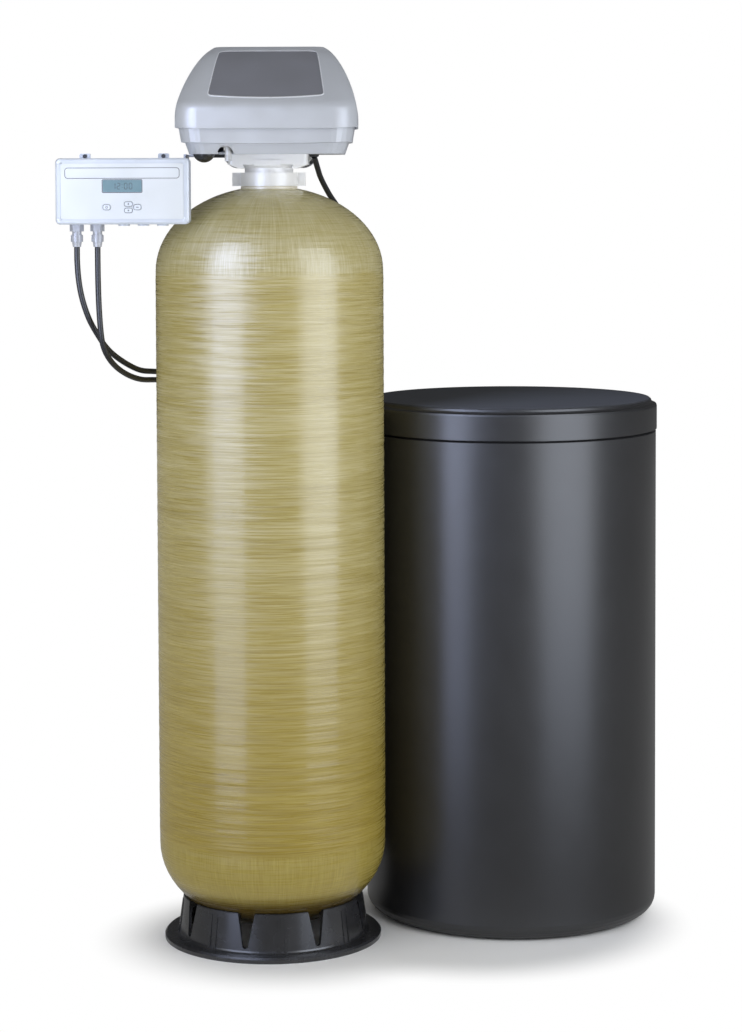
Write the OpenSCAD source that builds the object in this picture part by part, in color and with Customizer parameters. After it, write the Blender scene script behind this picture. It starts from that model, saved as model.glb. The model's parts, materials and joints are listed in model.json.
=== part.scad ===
// Water softener: a wound resin tank with a motor valve on its neck, a remote controller on a bracket,
// two cables between them, and a brine tank with a lift-off lid.
// Millimetres. The resin tank's axis is the Z axis, the floor is z = 0 and the front faces -Y.

/* [Resin tank] */
// Outside diameter of the wound tank
tank_d = 362; // [330:1:390]
// Height of the straight wall between the two domes
tank_straight = 916; // [700:1:1100]
// Height of each dome
dome_h = 134; // [120:1:150]
// Thickness of the tank's wall
tank_wall = 6; // [4:0.5:8]
// Height of the lower dome's pole above the floor
dome_lift = 21; // [14:1:30]
// Diameter of the opening in the upper dome
mouth_d = 74; // [66:1:80]
// Part of the inside height that the resin fills
resin_fill = 0.68; // [0.3:0.01:0.8]

/* [Tank base] */
// Height of the base
base_h = 70; // [60:1:84]
// Diameter of the flange on the floor
base_flange_d = 348; // [330:1:370]
// Thickness of the flange
base_flange_t = 9; // [6:0.5:14]
// Outside diameter of the wall where it meets the flange
base_foot_d = 302; // [298:1:312]
// Thickness of the wall and of the rim around the dome
base_wall = 4; // [3:0.5:6]
// Number of notches around the wall
base_notches = 8; // [4:1:10]
// Width of a notch at the rim
notch_w = 28; // [18:1:36]
// Width of a notch at its rounded bottom
notch_floor_w = 10; // [6:1:14]
// Height of the notches' bottoms above the floor
notch_floor_z = 16; // [14.5:0.5:30]
// Turn of the notch ring from the front
notch_turn = -15; // [-45:1:45]

/* [Neck and clamp] */
// Diameter of the neck insert's rest on the dome
rest_d = 90; // [88:1:100]
// Thickness of that rest
rest_t = 4.2; // [3:0.1:8]
// Diameter of the two clamped flanges
joint_d = 86; // [82:1:88]
// Thickness of each clamped flange
joint_t = 5.8; // [4:0.1:8]
// Diameter of the stem under the valve's deck
stem_d = 77; // [72:1:78]
// Bore through the neck and the stem
neck_bore_d = 64; // [58:1:65]
// Outside diameter of the clamp ring
clamp_d = 92; // [91:0.5:98]
// Thickness of the clamp's lips over the flanges
clamp_lip = 4.8; // [3:0.1:7]
// Reach of the clamp's lugs from the axis
lug_reach = 58; // [54:1:66]
// Thickness of each lug
lug_t = 7; // [5:0.5:10]

/* [Valve] */
// Length of the bare stem above the clamped flange
stem_h = 17.4; // [10:0.1:30]
// Width of the valve's deck
deck_w = 126; // [118:1:134]
// Depth of the deck
deck_d = 118; // [110:1:126]
// Thickness of the deck
deck_t = 16; // [13:0.5:22]
// Radius of the rotor housing
rotor_house_r = 48; // [46:0.5:50]
// Height of the rotor housing above the deck
rotor_house_h = 33; // [30:0.5:40]
// Depth of the rotor chamber
chamber_depth = 22; // [20:0.5:24]
// Radius of the rotor
rotor_r = 37; // [34:0.5:38]
// Thickness of the rotor
rotor_t = 10; // [7:0.5:13]
// Thickness of the rotor's seal
seal_t = 2.4; // [1.5:0.1:4]
// Thickness of the valve cap
cap_t = 8; // [6:0.5:12]
// Radius of the rotor's shaft
shaft_r = 8; // [7.8:0.1:9]
// Side of the square end of the shaft
drive_square = 10.8; // [9:0.1:10.9]
// Distance of the inlet and outlet from the middle
port_x = 52; // [50:0.5:56]
// Height of the port axes above the deck's underside
port_rise = 18; // [16:0.5:20]
// Radius of the port spigots
spigot_r = 17; // [15.5:0.1:17.5]
// Bore radius of the ports
port_bore_r = 12.5; // [10:0.1:13.5]
// Outside radius of an adaptor's socket
adaptor_r = 22; // [20.5:0.1:23]
// Length of an adaptor's socket
socket_l = 36; // [30:1:44]
// Radius of an adaptor's pipe end
pipe_r = 16.7; // [15:0.1:18]
// Length of an adaptor's pipe end
pipe_l = 34; // [24:1:50]

/* [Drive] */
// Tooth size of the gear pair
gear_module = 1.5; // [1.4:0.02:1.56]
// Teeth on the drive gear
gear_teeth = 48; // [44:1:50]
// Teeth on the motor pinion
pinion_teeth = 16; // [14:1:18]
// Thickness of the gears
gear_t = 8; // [6:0.5:9]
// Clearance under the drive gear
gear_gap = 1.2; // [0.8:0.1:3]
// Radius of the motor
motor_r = 28; // [24:0.5:32]
// Height of the motor
motor_h = 32; // [24:1:40]

/* [Venturi] */
// Radius of the venturi
venturi_r = 18; // [15:0.5:18.5]
// Distance of the venturi to the left of the axis
venturi_x = 97.5; // [96:0.5:98]
// Distance of the venturi in front of the axis
venturi_y = 90; // [86:0.5:91]
// Depth of its rounded bottom below the tray
venturi_drop = 13; // [8:0.5:18]

/* [Valve cover] */
// Half width of the hood at its skirt
hood_w = 142; // [141:0.5:150]
// Reach of the hood to the front
hood_front = 140; // [138.5:0.5:146]
// Reach of the hood to the rear
hood_rear = 120; // [118.5:0.5:126]
// Half width of the hood's flat top
hood_top_w = 85; // [70:1:95]
// Height of the hood above its seam
hood_h = 131; // [128:1:150]
// Rise of the sloping front, as height over depth
hood_slope = 0.745; // [0.7:0.005:0.85]
// Radius of the hood's corners
hood_corner = 40; // [34:1:46]
// Thickness of the hood's wall
hood_wall = 3; // [2.5:0.1:3.2]
// How far the seam dips in the middle of the front
seam_dip = 5; // [0:0.5:6]
// Half width of the dark panel at its lower edge
panel_low_w = 90; // [70:1:94]
// Half width of the dark panel at its upper edge
panel_top_w = 77; // [60:1:80]
// Depth of the panel's recess
panel_recess = 1.6; // [1:0.1:2]
// Half width of the tray at its rim
tray_w = 136.5; // [136:0.5:137]
// Height of the tray's upper tier
tray_upper_h = 25; // [22:0.5:30]
// Height of the tray's lower tier
tray_lower_h = 16; // [13:0.5:20]
// Width of the step between the two tiers
tray_step = 6; // [4:0.5:7]
// Thickness of the tray's wall and floor
tray_wall = 3; // [2.5:0.1:3.5]
// Width of the arch in the tray's front edge
arch_w = 27; // [18:1:32]
// Height of the arch
arch_h = 12.5; // [9:0.5:14]
// Height of the rear opening around the ports
rear_open_h = 27; // [25.5:0.5:34]

/* [Controller] */
// Width of the controller
ctl_w = 206; // [196:1:225]
// Height of the controller
ctl_h = 102; // [96:1:116]
// Depth of the controller
ctl_d = 45; // [38:1:52]
// Depth of its front bezel
bezel_d = 16; // [13:0.5:20]
// Width of the bezel's frame
bezel_w = 8; // [6:0.5:10]
// Thickness of the case walls
ctl_wall = 3; // [2.5:0.1:4]
// Corner radius of the case
ctl_corner = 7; // [5:0.5:9]
// Distance of the controller's middle to the left of the axis
ctl_x = 221; // [221:0.5:250]
// Distance of the controller's back in front of the axis
ctl_back = 95; // [94:0.5:110]
// Height of the controller's top below the tray's floor
ctl_below = 6; // [5:0.5:12]
// Width of the display window
display_w = 60; // [40:1:80]
// Height of the display window
display_h = 18.5; // [12:0.5:20]
// Distance of the ears from the middle
ear_x = 61; // [40:1:80]
// Travel of the buttons
button_travel = 0.8; // [0.4:0.1:1.2]
// Distance of the left gland from the middle
gland_left_x = 73.5; // [70:0.5:78]
// Distance of the right gland from the middle
gland_right_x = 41.5; // [38:0.5:46]
// Length of the glands
gland_l = 35; // [30:0.5:40]
// Diameter of the cables
cable_d = 9; // [7:0.5:9.5]

/* [Brine tank] */
// Gap between the two tanks
brine_gap = 10; // [8:0.5:60]
// Turn of the brine tank toward the rear, from straight to the right
brine_turn = 24.6; // [0:0.1:60]
// Radius of the brine tank
brine_r = 241; // [215:1:250]
// Thickness of its wall
brine_wall = 5; // [4:0.5:6]
// Radius around its lower edge
brine_corner = 24; // [12:1:30]
// Height of the shoulder under the lid
brine_shoulder = 801; // [700:1:880]
// How far the rim is set in under the lid
rim_inset = 4.5; // [4:0.1:6]
// Height of the rim above the shoulder
rim_h = 40; // [30:1:46]
// Thickness of the lid
lid_wall = 3; // [2.5:0.1:3.4]
// Height of the lid's raised top above the rim
lid_rise = 12; // [9:0.5:18]
// Height of the salt grid above the floor
grid_z = 105; // [80:1:140]
// Radius of the brine well
well_r = 51; // [46:0.5:54]
// Height of the brine well
well_h = 740; // [600:1:750]
// Radius of the float
float_r = 22; // [16:0.5:26]
// Height of the float
float_h = 60; // [40:1:80]

/* [Hidden] */
$fn = 64;
// Clearances: between curved faces of one body, around moving pieces, and on running shafts
fit = 0.3;
run = 0.1;

tank_r = tank_d / 2;
z_low = dome_lift + dome_h;
z_high = z_low + tank_straight;
mouth_r = mouth_d / 2;
rest_r = rest_d / 2;
z_rest = z_high + dome_h * sqrt(1 - pow(rest_r / tank_r, 2));
z_clamp = z_rest + rest_t + 0.2;
clamp_h = 2 * (clamp_lip + joint_t);
z_joint = z_clamp + clamp_h / 2;
z_deck = z_joint + joint_t + stem_h;
z_tray = z_deck + deck_t;
z_house = z_tray + rotor_house_h;
z_chamber = z_house - chamber_depth;
z_cap = z_house + cap_t;
z_plug = z_chamber + seal_t + rotor_t + 2;
z_gear = z_cap + 6 + gear_gap;
z_plate = z_gear + gear_t + 4;
z_port = z_deck + port_rise;
z_step = z_tray + tray_lower_h;
z_seam = z_step + tray_upper_h;
z_rim = z_seam + 2;
stem_r = stem_d / 2;
neck_bore_r = neck_bore_d / 2;
riser_r = 13.35;
deck_rear = deck_d / 2;
gear_r = gear_module * gear_teeth / 2;
pinion_r = gear_module * pinion_teeth / 2;
gear_span = gear_r + pinion_r + 0.1;
plate_t = 3;
standoff_at = 46;
cap_screw_at = rotor_house_r - 5;
drain_x = -14;
drain_z = z_port + 5;
sensor_y = deck_rear + 22;

// Brine tank levels
brine_at = tank_r + brine_gap + brine_r;
brine_x = brine_at * cos(brine_turn);
brine_y = brine_at * sin(brine_turn);
rim_r = brine_r - rim_inset;
brine_rim_z = brine_shoulder + rim_h;
lid_r = brine_r + 1.5;
lid_top_z = brine_rim_z + lid_rise;
well_at = brine_r - brine_wall - brine_corner - well_r - 5;
well_x = -well_at * cos(45);
well_y = well_at * sin(45);
well_z = brine_wall;
grid_t = 8;
stem_pipe_r = 6.5;
float_rest_z = 170;

// Controller levels
ctl_top = z_tray - ctl_below;
ctl_z = ctl_top - ctl_h / 2;
ctl_front = ctl_back + ctl_d;
panel_w = ctl_w - 2 * bezel_w;
panel_h = ctl_h - 2 * bezel_w;
panel_t = 2;
gland_y = ctl_back + (ctl_d - bezel_d) * 0.5;
gland_end = ctl_z - ctl_h / 2 - gland_l;
grommet_x = 72;
grommet_y = -2;
bar_t = 4;
plate_back_t = 3;

// Shared forms
function dome_r(z, r, h) = r * sqrt(max(0, 1 - pow((z_low - z) / h, 2)));
function dome_arc(r, h, a0, a1, up, n = 18) =
    [for (i = [0:n]) let (a = a0 + (a1 - a0) * i / n) [r * sin(a), (up ? z_high + h * cos(a) : z_low - h * cos(a))]];

module tube(ro, ri, h) {
    difference() {
        cylinder(r = ro, h = h);
        translate([0, 0, -1]) cylinder(r = ri, h = h + 2);
    }
}

module rounded2d(w, h, r) {
    square([w - 2 * r, h], center = true);
    square([w, h - 2 * r], center = true);
    for (sx = [-1, 1], sy = [-1, 1]) translate([sx * (w / 2 - r), sy * (h / 2 - r)]) circle(r);
}

module stadium2d(w, h) {
    square([w - h, h], center = true);
    for (s = [-1, 1]) translate([s * (w - h) / 2, 0]) circle(h / 2);
}

// Points +Z of a piece to the rear
module to_rear(x, y, z) translate([x, y, z]) rotate([-90, 0, 0]) children();

// Draws a piece on the controller's front: x right, y up, z toward the viewer, from the front plane
module on_front() translate([-ctl_x, -ctl_front, ctl_z]) rotate([90, 0, 0]) children();

function soft_max(a, b, k) = (a + b + sqrt((a - b) * (a - b) + k * k)) / 2;

// One rounded rectangular ring of a loft, front edge at -f and rear edge at b, corners lifted by dip
function plan_ring(w, f, b, r, z, dip, m = 6) =
    let (cx = w - r,
        pts = concat(
            [for (i = [0:m]) [cx + r * sin(90 * i / m), -f + r - r * cos(90 * i / m)]],
            [for (i = [0:m]) [cx + r * cos(90 * i / m), b - r + r * sin(90 * i / m)]],
            [for (i = [1:3]) [cx - 2 * cx * i / 4, b]],
            [for (i = [0:m]) [-cx - r * sin(90 * i / m), b - r + r * cos(90 * i / m)]],
            [for (i = [0:m]) [-cx - r * cos(90 * i / m), -f + r - r * sin(90 * i / m)]],
            [for (i = [1:7]) [-cx + 2 * cx * i / 8, -f]]))
    [for (p = pts) [p[0], p[1], z + dip * pow(p[0] / w, 2)]];

function mean_point(pts) = [for (k = [0:2]) let (v = [for (p = pts) p[k]]) v * [for (p = pts) 1] / len(pts)];

module loft(rings) {
    n = len(rings[0]);
    k = len(rings);
    points = concat([for (r = rings) each r], [mean_point(rings[0])], [mean_point(rings[k - 1])]);
    sides = [for (i = [0:k - 2], j = [0:n - 1], h = [0, 1])
        let (a = i * n + j, b = i * n + (j + 1) % n)
        h == 0 ? [a, a + n, b + n] : [a, b + n, b]];
    bottom = [for (j = [0:n - 1]) [k * n, j, (j + 1) % n]];
    top = [for (j = [0:n - 1]) [k * n + 1, (k - 1) * n + (j + 1) % n, (k - 1) * n + j]];
    polyhedron(points = points, faces = concat(sides, bottom, top), convexity = 6);
}

// Involute gear outline
function inv(a) = tan(a) - a * PI / 180;
function inv_at(r, rb) = r <= rb ? 0 : inv(acos(rb / r));
function gear_points(teeth, m, slack) =
    let (rp = m * teeth / 2, rb = rp * cos(20), rf = rp - 1.25 * m, ra = rp + m,
        radii = [rf, max(rb, rf) + 0.05, rp, rp + 0.55 * m, ra],
        half = [for (r = radii) 90 / teeth - slack / rp * 180 / PI + (inv(20) - inv_at(r, rb)) * 180 / PI])
    [for (i = [0:teeth - 1], k = [0:9])
        let (q = k < 5 ? k : 9 - k, a = 360 / teeth * i + (k < 5 ? -half[q] : half[q]))
        radii[q] * [cos(a), sin(a)]];

// Resin tank
module tank_shell() color([0.72, 0.66, 0.42]) rotate_extrude() {
    ri = tank_r - tank_wall;
    hi = dome_h - tank_wall;
    polygon(concat(
        dome_arc(tank_r, dome_h, 0, 90, false),
        dome_arc(tank_r, dome_h, 90, asin(rest_r / tank_r), true),
        [[mouth_r, z_rest]],
        dome_arc(ri, hi, asin(mouth_r / ri), 90, true),
        dome_arc(ri, hi, 90, 0, false)));
}

module neck_insert() color([0.9, 0.86, 0.74]) rotate_extrude() {
    top = z_joint;
    polygon([[neck_bore_r, z_rest - 24], [mouth_r - fit, z_rest - 24], [mouth_r - fit, z_rest], [rest_r, z_rest],
        [rest_r, z_rest + rest_t - 1], [rest_r - 1, z_rest + rest_t], [stem_r, z_rest + rest_t],
        [stem_r, top - joint_t], [joint_d / 2, top - joint_t], [joint_d / 2, top],
        [stem_r - 1.6, top], [stem_r - 1.6, top - 2.4], [neck_bore_r + 1.6, top - 2.4], [neck_bore_r + 1.6, top],
        [neck_bore_r, top]]);
}

base_in_top = dome_r(base_h, tank_r, dome_h) + fit;
base_seat_h = 8;
base_in_seat = dome_r(base_h - base_seat_h, tank_r, dome_h) + fit;
base_top_r = base_in_top + base_wall - 0.5;
base_foot_r = base_foot_d / 2;

module tank_base() color([0.09, 0.09, 0.1]) difference() {
    union() {
        rotate_extrude() polygon([[base_flange_d / 2, 0], [base_flange_d / 2, base_flange_t - 3],
            [base_flange_d / 2 - 3, base_flange_t], [base_foot_r + 4, base_flange_t],
            [base_foot_r + 1, base_flange_t + 1.5], [base_foot_r, base_flange_t + 4],
            [base_top_r + 0.2, base_h - 1.2], [base_top_r - 1, base_h], [base_in_top, base_h],
            [base_in_seat, base_h - base_seat_h], [base_top_r - base_wall, base_h - base_seat_h - 4],
            [base_foot_r - base_wall - 1, base_flange_t + 1], [base_foot_r - base_wall - 1, 0]]);
        for (i = [0:base_notches - 1], s = [-1, 1])
            rotate([0, 0, notch_turn - 90 + (i + 0.5) * 360 / base_notches + s * 2.1 - 0.7])
            rotate_extrude(angle = 1.4) polygon([[base_foot_r - 1, base_flange_t - 1],
                [base_foot_r + 2.2, base_flange_t - 1], [base_top_r + 1.8, base_h - 8], [base_top_r - 1, base_h - 5]]);
    }
    for (i = [0:base_notches - 1]) rotate([0, 0, notch_turn + i * 360 / base_notches])
        translate([0, -base_foot_r + 32, 0]) rotate([90, 0, 0]) linear_extrude(60) {
            r = notch_floor_w / 2;
            translate([0, notch_floor_z + r]) circle(r);
            polygon([[-r, notch_floor_z + r], [r, notch_floor_z + r], [notch_w / 2, base_h + 1],
                [-notch_w / 2, base_h + 1]]);
        }
}

basket_r = 38;
basket_h = 56;
basket_z = z_low - (dome_h - tank_wall) * sqrt(1 - pow(basket_r / (tank_r - tank_wall), 2)) + 0.6;
gravel_top = basket_z + basket_h + 20;
resin_top = gravel_top + (z_high - gravel_top) * resin_fill;

module riser_tube() color([0.92, 0.92, 0.9])
    translate([0, 0, basket_z + basket_h - 12]) tube(riser_r, riser_r - 2.5, z_deck + 8 - basket_z - basket_h + 12);

module bottom_distributor() color([0.88, 0.88, 0.84]) translate([0, 0, basket_z]) difference() {
    cylinder(r = basket_r, h = basket_h);
    translate([0, 0, 4]) cylinder(r = basket_r - 3, h = basket_h - 8 - 12);
    translate([0, 0, basket_h - 12]) cylinder(r = riser_r + run, h = 13);
    translate([0, 0, basket_h - 20]) cylinder(r = riser_r - 2.5, h = 9);
    for (i = [0:23]) rotate([0, 0, i * 15]) translate([basket_r - 5, -0.5, 8]) cube([8, 1, basket_h - 32]);
}

module top_distributor() color([0.88, 0.88, 0.84]) translate([0, 0, z_deck - 6]) difference() {
    union() {
        translate([0, 0, -6]) cylinder(r = neck_bore_r - fit, h = 6);
        translate([0, 0, -80]) cylinder(r = neck_bore_r - 5, h = 75);
    }
    translate([0, 0, -77]) cylinder(r = neck_bore_r - 8, h = 80);
    translate([0, 0, -81]) cylinder(r = riser_r + 0.6, h = 90);
    for (i = [0:19]) rotate([0, 0, i * 18]) translate([neck_bore_r - 10, -0.6, -74]) cube([8, 1.2, 44]);
}

module gravel_bed() color([0.6, 0.56, 0.5]) rotate_extrude() {
    ri = tank_r - tank_wall - fit;
    hi = dome_h - tank_wall - fit;
    r0 = basket_r + fit;
    a0 = asin(r0 / ri);
    a1 = acos((z_low - min(gravel_top, z_low - 1)) / hi);
    polygon(concat(dome_arc(ri, hi, a0, a1, false), [[riser_r + 0.5, gravel_top],
        [riser_r + 0.5, basket_z + basket_h + fit], [r0, basket_z + basket_h + fit]]));
}

module resin_bed() color([0.62, 0.42, 0.2]) rotate_extrude() {
    ri = tank_r - tank_wall - fit;
    hi = dome_h - tank_wall - fit;
    z0 = gravel_top + 0.2;
    a0 = acos((z_low - min(z0, z_low - 1)) / hi);
    polygon(concat(dome_arc(ri, hi, a0, 90, false, 8), [[ri, resin_top], [riser_r + 0.5, resin_top],
        [riser_r + 0.5, z0]]));
}

// Clamp around the neck joint
module clamp_half() {
    difference() {
        union() {
            translate([0, 0, z_clamp]) cylinder(r = clamp_d / 2, h = clamp_h);
            for (s = [-1, 1]) translate([s > 0 ? stem_r + 2 : -lug_reach, -lug_t - 0.5, z_clamp])
                cube([lug_reach - stem_r - 2, lug_t, clamp_h]);
        }
        translate([0, 0, z_clamp - 1]) cylinder(r = stem_r + fit, h = clamp_h + 2);
        translate([0, 0, z_joint - joint_t]) cylinder(r = joint_d / 2 + fit, h = 2 * joint_t);
        translate([-100, -0.5, z_clamp - 1]) cube([200, 100, clamp_h + 2]);
        for (s = [-1, 1]) to_rear(s * (lug_reach - 5.5), -lug_t - 1, z_joint) cylinder(r = 2.6, h = lug_t + 2);
    }
}

module clamp_front() color([0.95, 0.95, 0.95]) clamp_half();

module clamp_rear() color([0.93, 0.93, 0.93]) rotate([0, 0, 180]) clamp_half();

module clamp_bolts() color([0.75, 0.75, 0.77]) for (s = [-1, 1]) {
    x = s * (lug_reach - 5.5);
    to_rear(x, -lug_t - 3.5, z_joint) cylinder(r = 4.6, h = 3);
    to_rear(x, -lug_t - 1, z_joint) cylinder(r = 2.5, h = 2 * lug_t + 7);
    to_rear(x, lug_t + 0.5, z_joint) cylinder(r = 4.4, h = 4);
}

module neck_oring() color([0.12, 0.12, 0.12]) translate([0, 0, z_joint - 2.4]) {
    r0 = neck_bore_r + 1.7;
    tube(stem_r - 1.7, r0, 2.4);
}

// Valve
module valve_body() color([0.96, 0.96, 0.95]) difference() {
    union() {
        translate([0, 0, z_joint]) cylinder(r = joint_d / 2, h = joint_t);
        translate([0, 0, z_joint]) cylinder(r = stem_r, h = z_deck - z_joint + 2);
        translate([0, 0, z_deck - 6]) cylinder(r1 = stem_r, r2 = stem_r + 10, h = 6);
        translate([0, 0, z_deck]) linear_extrude(deck_t) rounded2d(deck_w, deck_d, 8);
        for (s = [-1, 1]) translate([s * (deck_w / 2 - 9), 0, z_deck - 6]) rotate([90, 0, 0])
            linear_extrude(deck_d - 30, center = true) polygon([[s * 9, 6], [-s * 14, 6], [-s * 17, 0], [-s * 8, 0]]);
        translate([-21, -deck_rear - 2.5, z_deck - 2]) cube([42, 12, 9]);
        translate([0, 0, z_tray - 1]) cylinder(r = rotor_house_r, h = rotor_house_h + 1);
        for (s = [-1, 1]) to_rear(s * port_x, 12, z_port) cylinder(r = spigot_r, h = deck_rear + 28 - 12);
        to_rear(drain_x, 24, drain_z) cylinder(r = 11, h = deck_rear - 20);
    }
    translate([0, 0, z_joint - 1]) cylinder(r = neck_bore_r, h = z_deck - 6 - z_joint + 1);
    translate([0, 0, z_deck - 7]) cylinder(r = riser_r + run, h = 15);
    translate([0, 0, z_chamber]) cylinder(r = rotor_r + 0.5, h = chamber_depth + 1);
    translate([0, 0, z_deck + 4]) cylinder(r = 8, h = z_chamber - z_deck);
    for (s = [-1, 1]) {
        to_rear(s * port_x, 20, z_port) cylinder(r = port_bore_r, h = deck_rear + 40);
        translate([s * (rotor_r - 4), 8, z_port]) rotate([0, 0, s > 0 ? 32 : 148]) translate([-3, -5, -5])
            cube([26, 10, 10]);
        translate([s * (rotor_r - 9), 8, z_port]) cylinder(r = 6, h = z_chamber - z_port + 1);
    }
    to_rear(drain_x, 40, drain_z) cylinder(r = 7.1, h = deck_rear);
    for (i = [0:7]) rotate([0, 0, 22.5 + 45 * i]) translate([cap_screw_at, 0, z_house - 12])
        cylinder(r = 2.2, h = 13);
    for (p = tray_screw_at) translate([p[0], p[1], z_tray - 10]) cylinder(r = 1.8, h = 11);
    translate([-deck_w / 2 - 1, bar_y - bar_w / 2 - 0.2, z_tray - bar_t]) cube([25, bar_w + 0.4, bar_t + 1]);
    translate([-deck_w / 2 + 12, bar_y, z_deck + 2]) cylinder(r = 2.1, h = deck_t);
    translate([-deck_w / 2 - 1, -venturi_link_y - 5.2, z_tray - 5.4]) cube([9, 10.4, 10]);
}

tray_screw_at = [[-46, -46], [46, -46], [-56.5, -1], [56.5, -1]];
bar_w = 18;
bar_y = -24;
venturi_link_y = 48;

module rotor_seal() color([0.15, 0.15, 0.16]) translate([0, 0, z_chamber]) difference() {
    cylinder(r = rotor_r, h = seal_t);
    translate([0, 0, -1]) cylinder(r = 8, h = seal_t + 2);
    for (s = [-1, 1]) translate([s * (rotor_r - 9), 8, -1]) cylinder(r = 6, h = seal_t + 2);
}

module rotor_disc() color([0.25, 0.27, 0.3]) difference() {
    union() {
        translate([0, 0, z_chamber + seal_t + run]) cylinder(r = rotor_r, h = rotor_t);
        translate([0, 0, z_chamber + seal_t + rotor_t]) cylinder(r = shaft_r, h = z_gear - z_chamber - seal_t - rotor_t);
        translate([-drive_square / 2, -drive_square / 2, z_gear - 1]) cube([drive_square, drive_square, gear_t + 4]);
    }
    for (s = [-1, 1]) translate([s * (rotor_r - 9), 8, z_chamber]) cylinder(r = 6, h = seal_t + rotor_t - 2);
    translate([0, 0, z_chamber + seal_t - 1]) rotate_extrude(angle = 150) translate([13, 0]) square([10, rotor_t - 2]);
}

module valve_cap() color([0.9, 0.9, 0.9]) difference() {
    union() {
        translate([0, 0, z_house]) cylinder(r = rotor_house_r + 3, h = cap_t);
        translate([0, 0, z_plug]) cylinder(r = rotor_r, h = z_house - z_plug + 1);
        translate([0, 0, z_cap]) cylinder(r = 13, h = 6);
        for (a = [0, 180, 270]) rotate([0, 0, a]) translate([standoff_at, 0, z_house])
            cylinder(r = 4.5, h = z_plate - z_house);
    }
    translate([0, 0, z_chamber]) cylinder(r = shaft_r + run, h = 80);
    for (i = [0:7]) rotate([0, 0, 22.5 + 45 * i]) translate([cap_screw_at, 0, z_house - 1])
        cylinder(r = 2.6, h = cap_t + 2);
}

module cap_screws() color([0.7, 0.7, 0.72]) for (i = [0:7]) rotate([0, 0, 22.5 + 45 * i])
    translate([cap_screw_at, 0, z_cap]) {
        cylinder(r = 4, h = 3.4);
        translate([0, 0, -cap_t - 10]) cylinder(r = 2.1, h = cap_t + 11);
    }

module drive_gear() color([0.85, 0.85, 0.8]) translate([0, 0, z_gear]) difference() {
    union() {
        linear_extrude(gear_t) polygon(gear_points(gear_teeth, gear_module, 0.06));
        linear_extrude(gear_t + 2) polygon([for (i = [0:47]) (i % 12 < 2 ? 25 : 28) * [cos(7.5 * i), sin(7.5 * i)]]);
    }
    translate([0, 0, gear_t / 2]) cube([drive_square + 0.2, drive_square + 0.2, gear_t * 2], center = true);
}

module motor_plate() color([0.78, 0.79, 0.8]) translate([0, 0, z_plate]) difference() {
    linear_extrude(plate_t) {
        translate([0, gear_span]) circle(motor_r + 4);
        translate([-standoff_at - 8, -9]) square([2 * standoff_at + 16, gear_span]);
        translate([-9, -standoff_at - 14]) square([18, standoff_at + 10]);
    }
    translate([0, gear_span, -1]) cylinder(r = 5, h = plate_t + 2);
    for (a = [0, 180, 270]) rotate([0, 0, a]) translate([standoff_at, 0, -1]) cylinder(r = 1.6, h = plate_t + 2);
}

module drive_motor() color([0.7, 0.72, 0.74]) translate([0, gear_span, z_plate + plate_t]) difference() {
    union() {
        cylinder(r = motor_r, h = motor_h);
        translate([-10, motor_r - 4, 6]) cube([20, 9, motor_h - 10]);
        for (s = [-1, 1]) translate([s > 0 ? 0 : -motor_r - 3.5, -5, 0]) cube([motor_r + 3.5, 10, 3]);
    }
    translate([0, 0, -1]) cylinder(r = 3 + run, h = 15);
}

module motor_shaft() color([0.75, 0.75, 0.77]) translate([0, gear_span, z_gear]) {
    translate([0, 0, gear_t]) cylinder(r = 3, h = z_plate + plate_t + 12 - z_gear - gear_t);
    translate([-2, -2, -0.4]) cube([4, 4, gear_t + 1]);
}

module motor_pinion() color([0.85, 0.85, 0.8]) translate([0, gear_span, z_gear]) rotate([0, 0, 180 / pinion_teeth])
    difference() {
        linear_extrude(gear_t) polygon(gear_points(pinion_teeth, gear_module, 0.06));
        rotate([0, 0, -180 / pinion_teeth]) cube([4.2, 4.2, gear_t * 3], center = true);
    }

module position_switch() color([0.1, 0.1, 0.11]) {
    translate([-standoff_at - 7, 18, z_plate - 10]) cube([14, 19, 10]);
    translate([-41, 22.5, z_gear + gear_t + 0.4]) rotate([0, 0, -26.6]) cube([18.4, 2, 1.4]);
}

module adaptor(side, meter) {
    to_rear(side * port_x, deck_rear + 3, z_port) difference() {
        union() {
            cylinder(r = adaptor_r, h = socket_l);
            cylinder(r = pipe_r, h = socket_l + pipe_l);
        }
        translate([0, 0, -1]) cylinder(r = spigot_r + run, h = 27);
        translate([0, 0, -1]) cylinder(r = port_bore_r, h = socket_l + pipe_l + 2);
        translate([0, 0, 8]) tube(adaptor_r + 2, adaptor_r - 2, 3.2);
    }
    if (meter) to_rear(side * port_x, deck_rear + 3, z_port) {
        for (a = [0, 90]) rotate([0, 0, a]) translate([-port_bore_r - 1, -1, 34]) cube([2 * port_bore_r + 2, 2, 5]);
        translate([0, 0, 29]) cylinder(r = 1.5, h = 6);
        translate([0, 0, 34]) cylinder(r = 3, h = 5);
    }
}

module inlet_adaptor() color([0.08, 0.08, 0.09]) adaptor(-1, false);

module outlet_adaptor() color([0.08, 0.08, 0.09]) adaptor(1, true);

module port_clips() color([0.75, 0.75, 0.77]) for (s = [-1, 1]) to_rear(s * port_x, deck_rear + 11.2, z_port)
    difference() {
        tube(adaptor_r + 1.4, adaptor_r - 1.8, 2.8);
        translate([-9, -40, -1]) cube([18, 40, 5]);
    }

module turbine_wheel() color([0.9, 0.9, 0.88]) to_rear(port_x, deck_rear + 3 + 27.4, z_port) difference() {
    union() {
        cylinder(r = 4, h = 6);
        for (i = [0:5]) rotate([0, 0, 60 * i]) translate([2, 0, 3]) rotate([32, 0, 0])
            translate([0, -0.5, -2.6]) cube([port_bore_r - 3.2, 1, 5.2]);
    }
    translate([0, 0, -1]) cylinder(r = 1.5 + run, h = 12);
}

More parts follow.
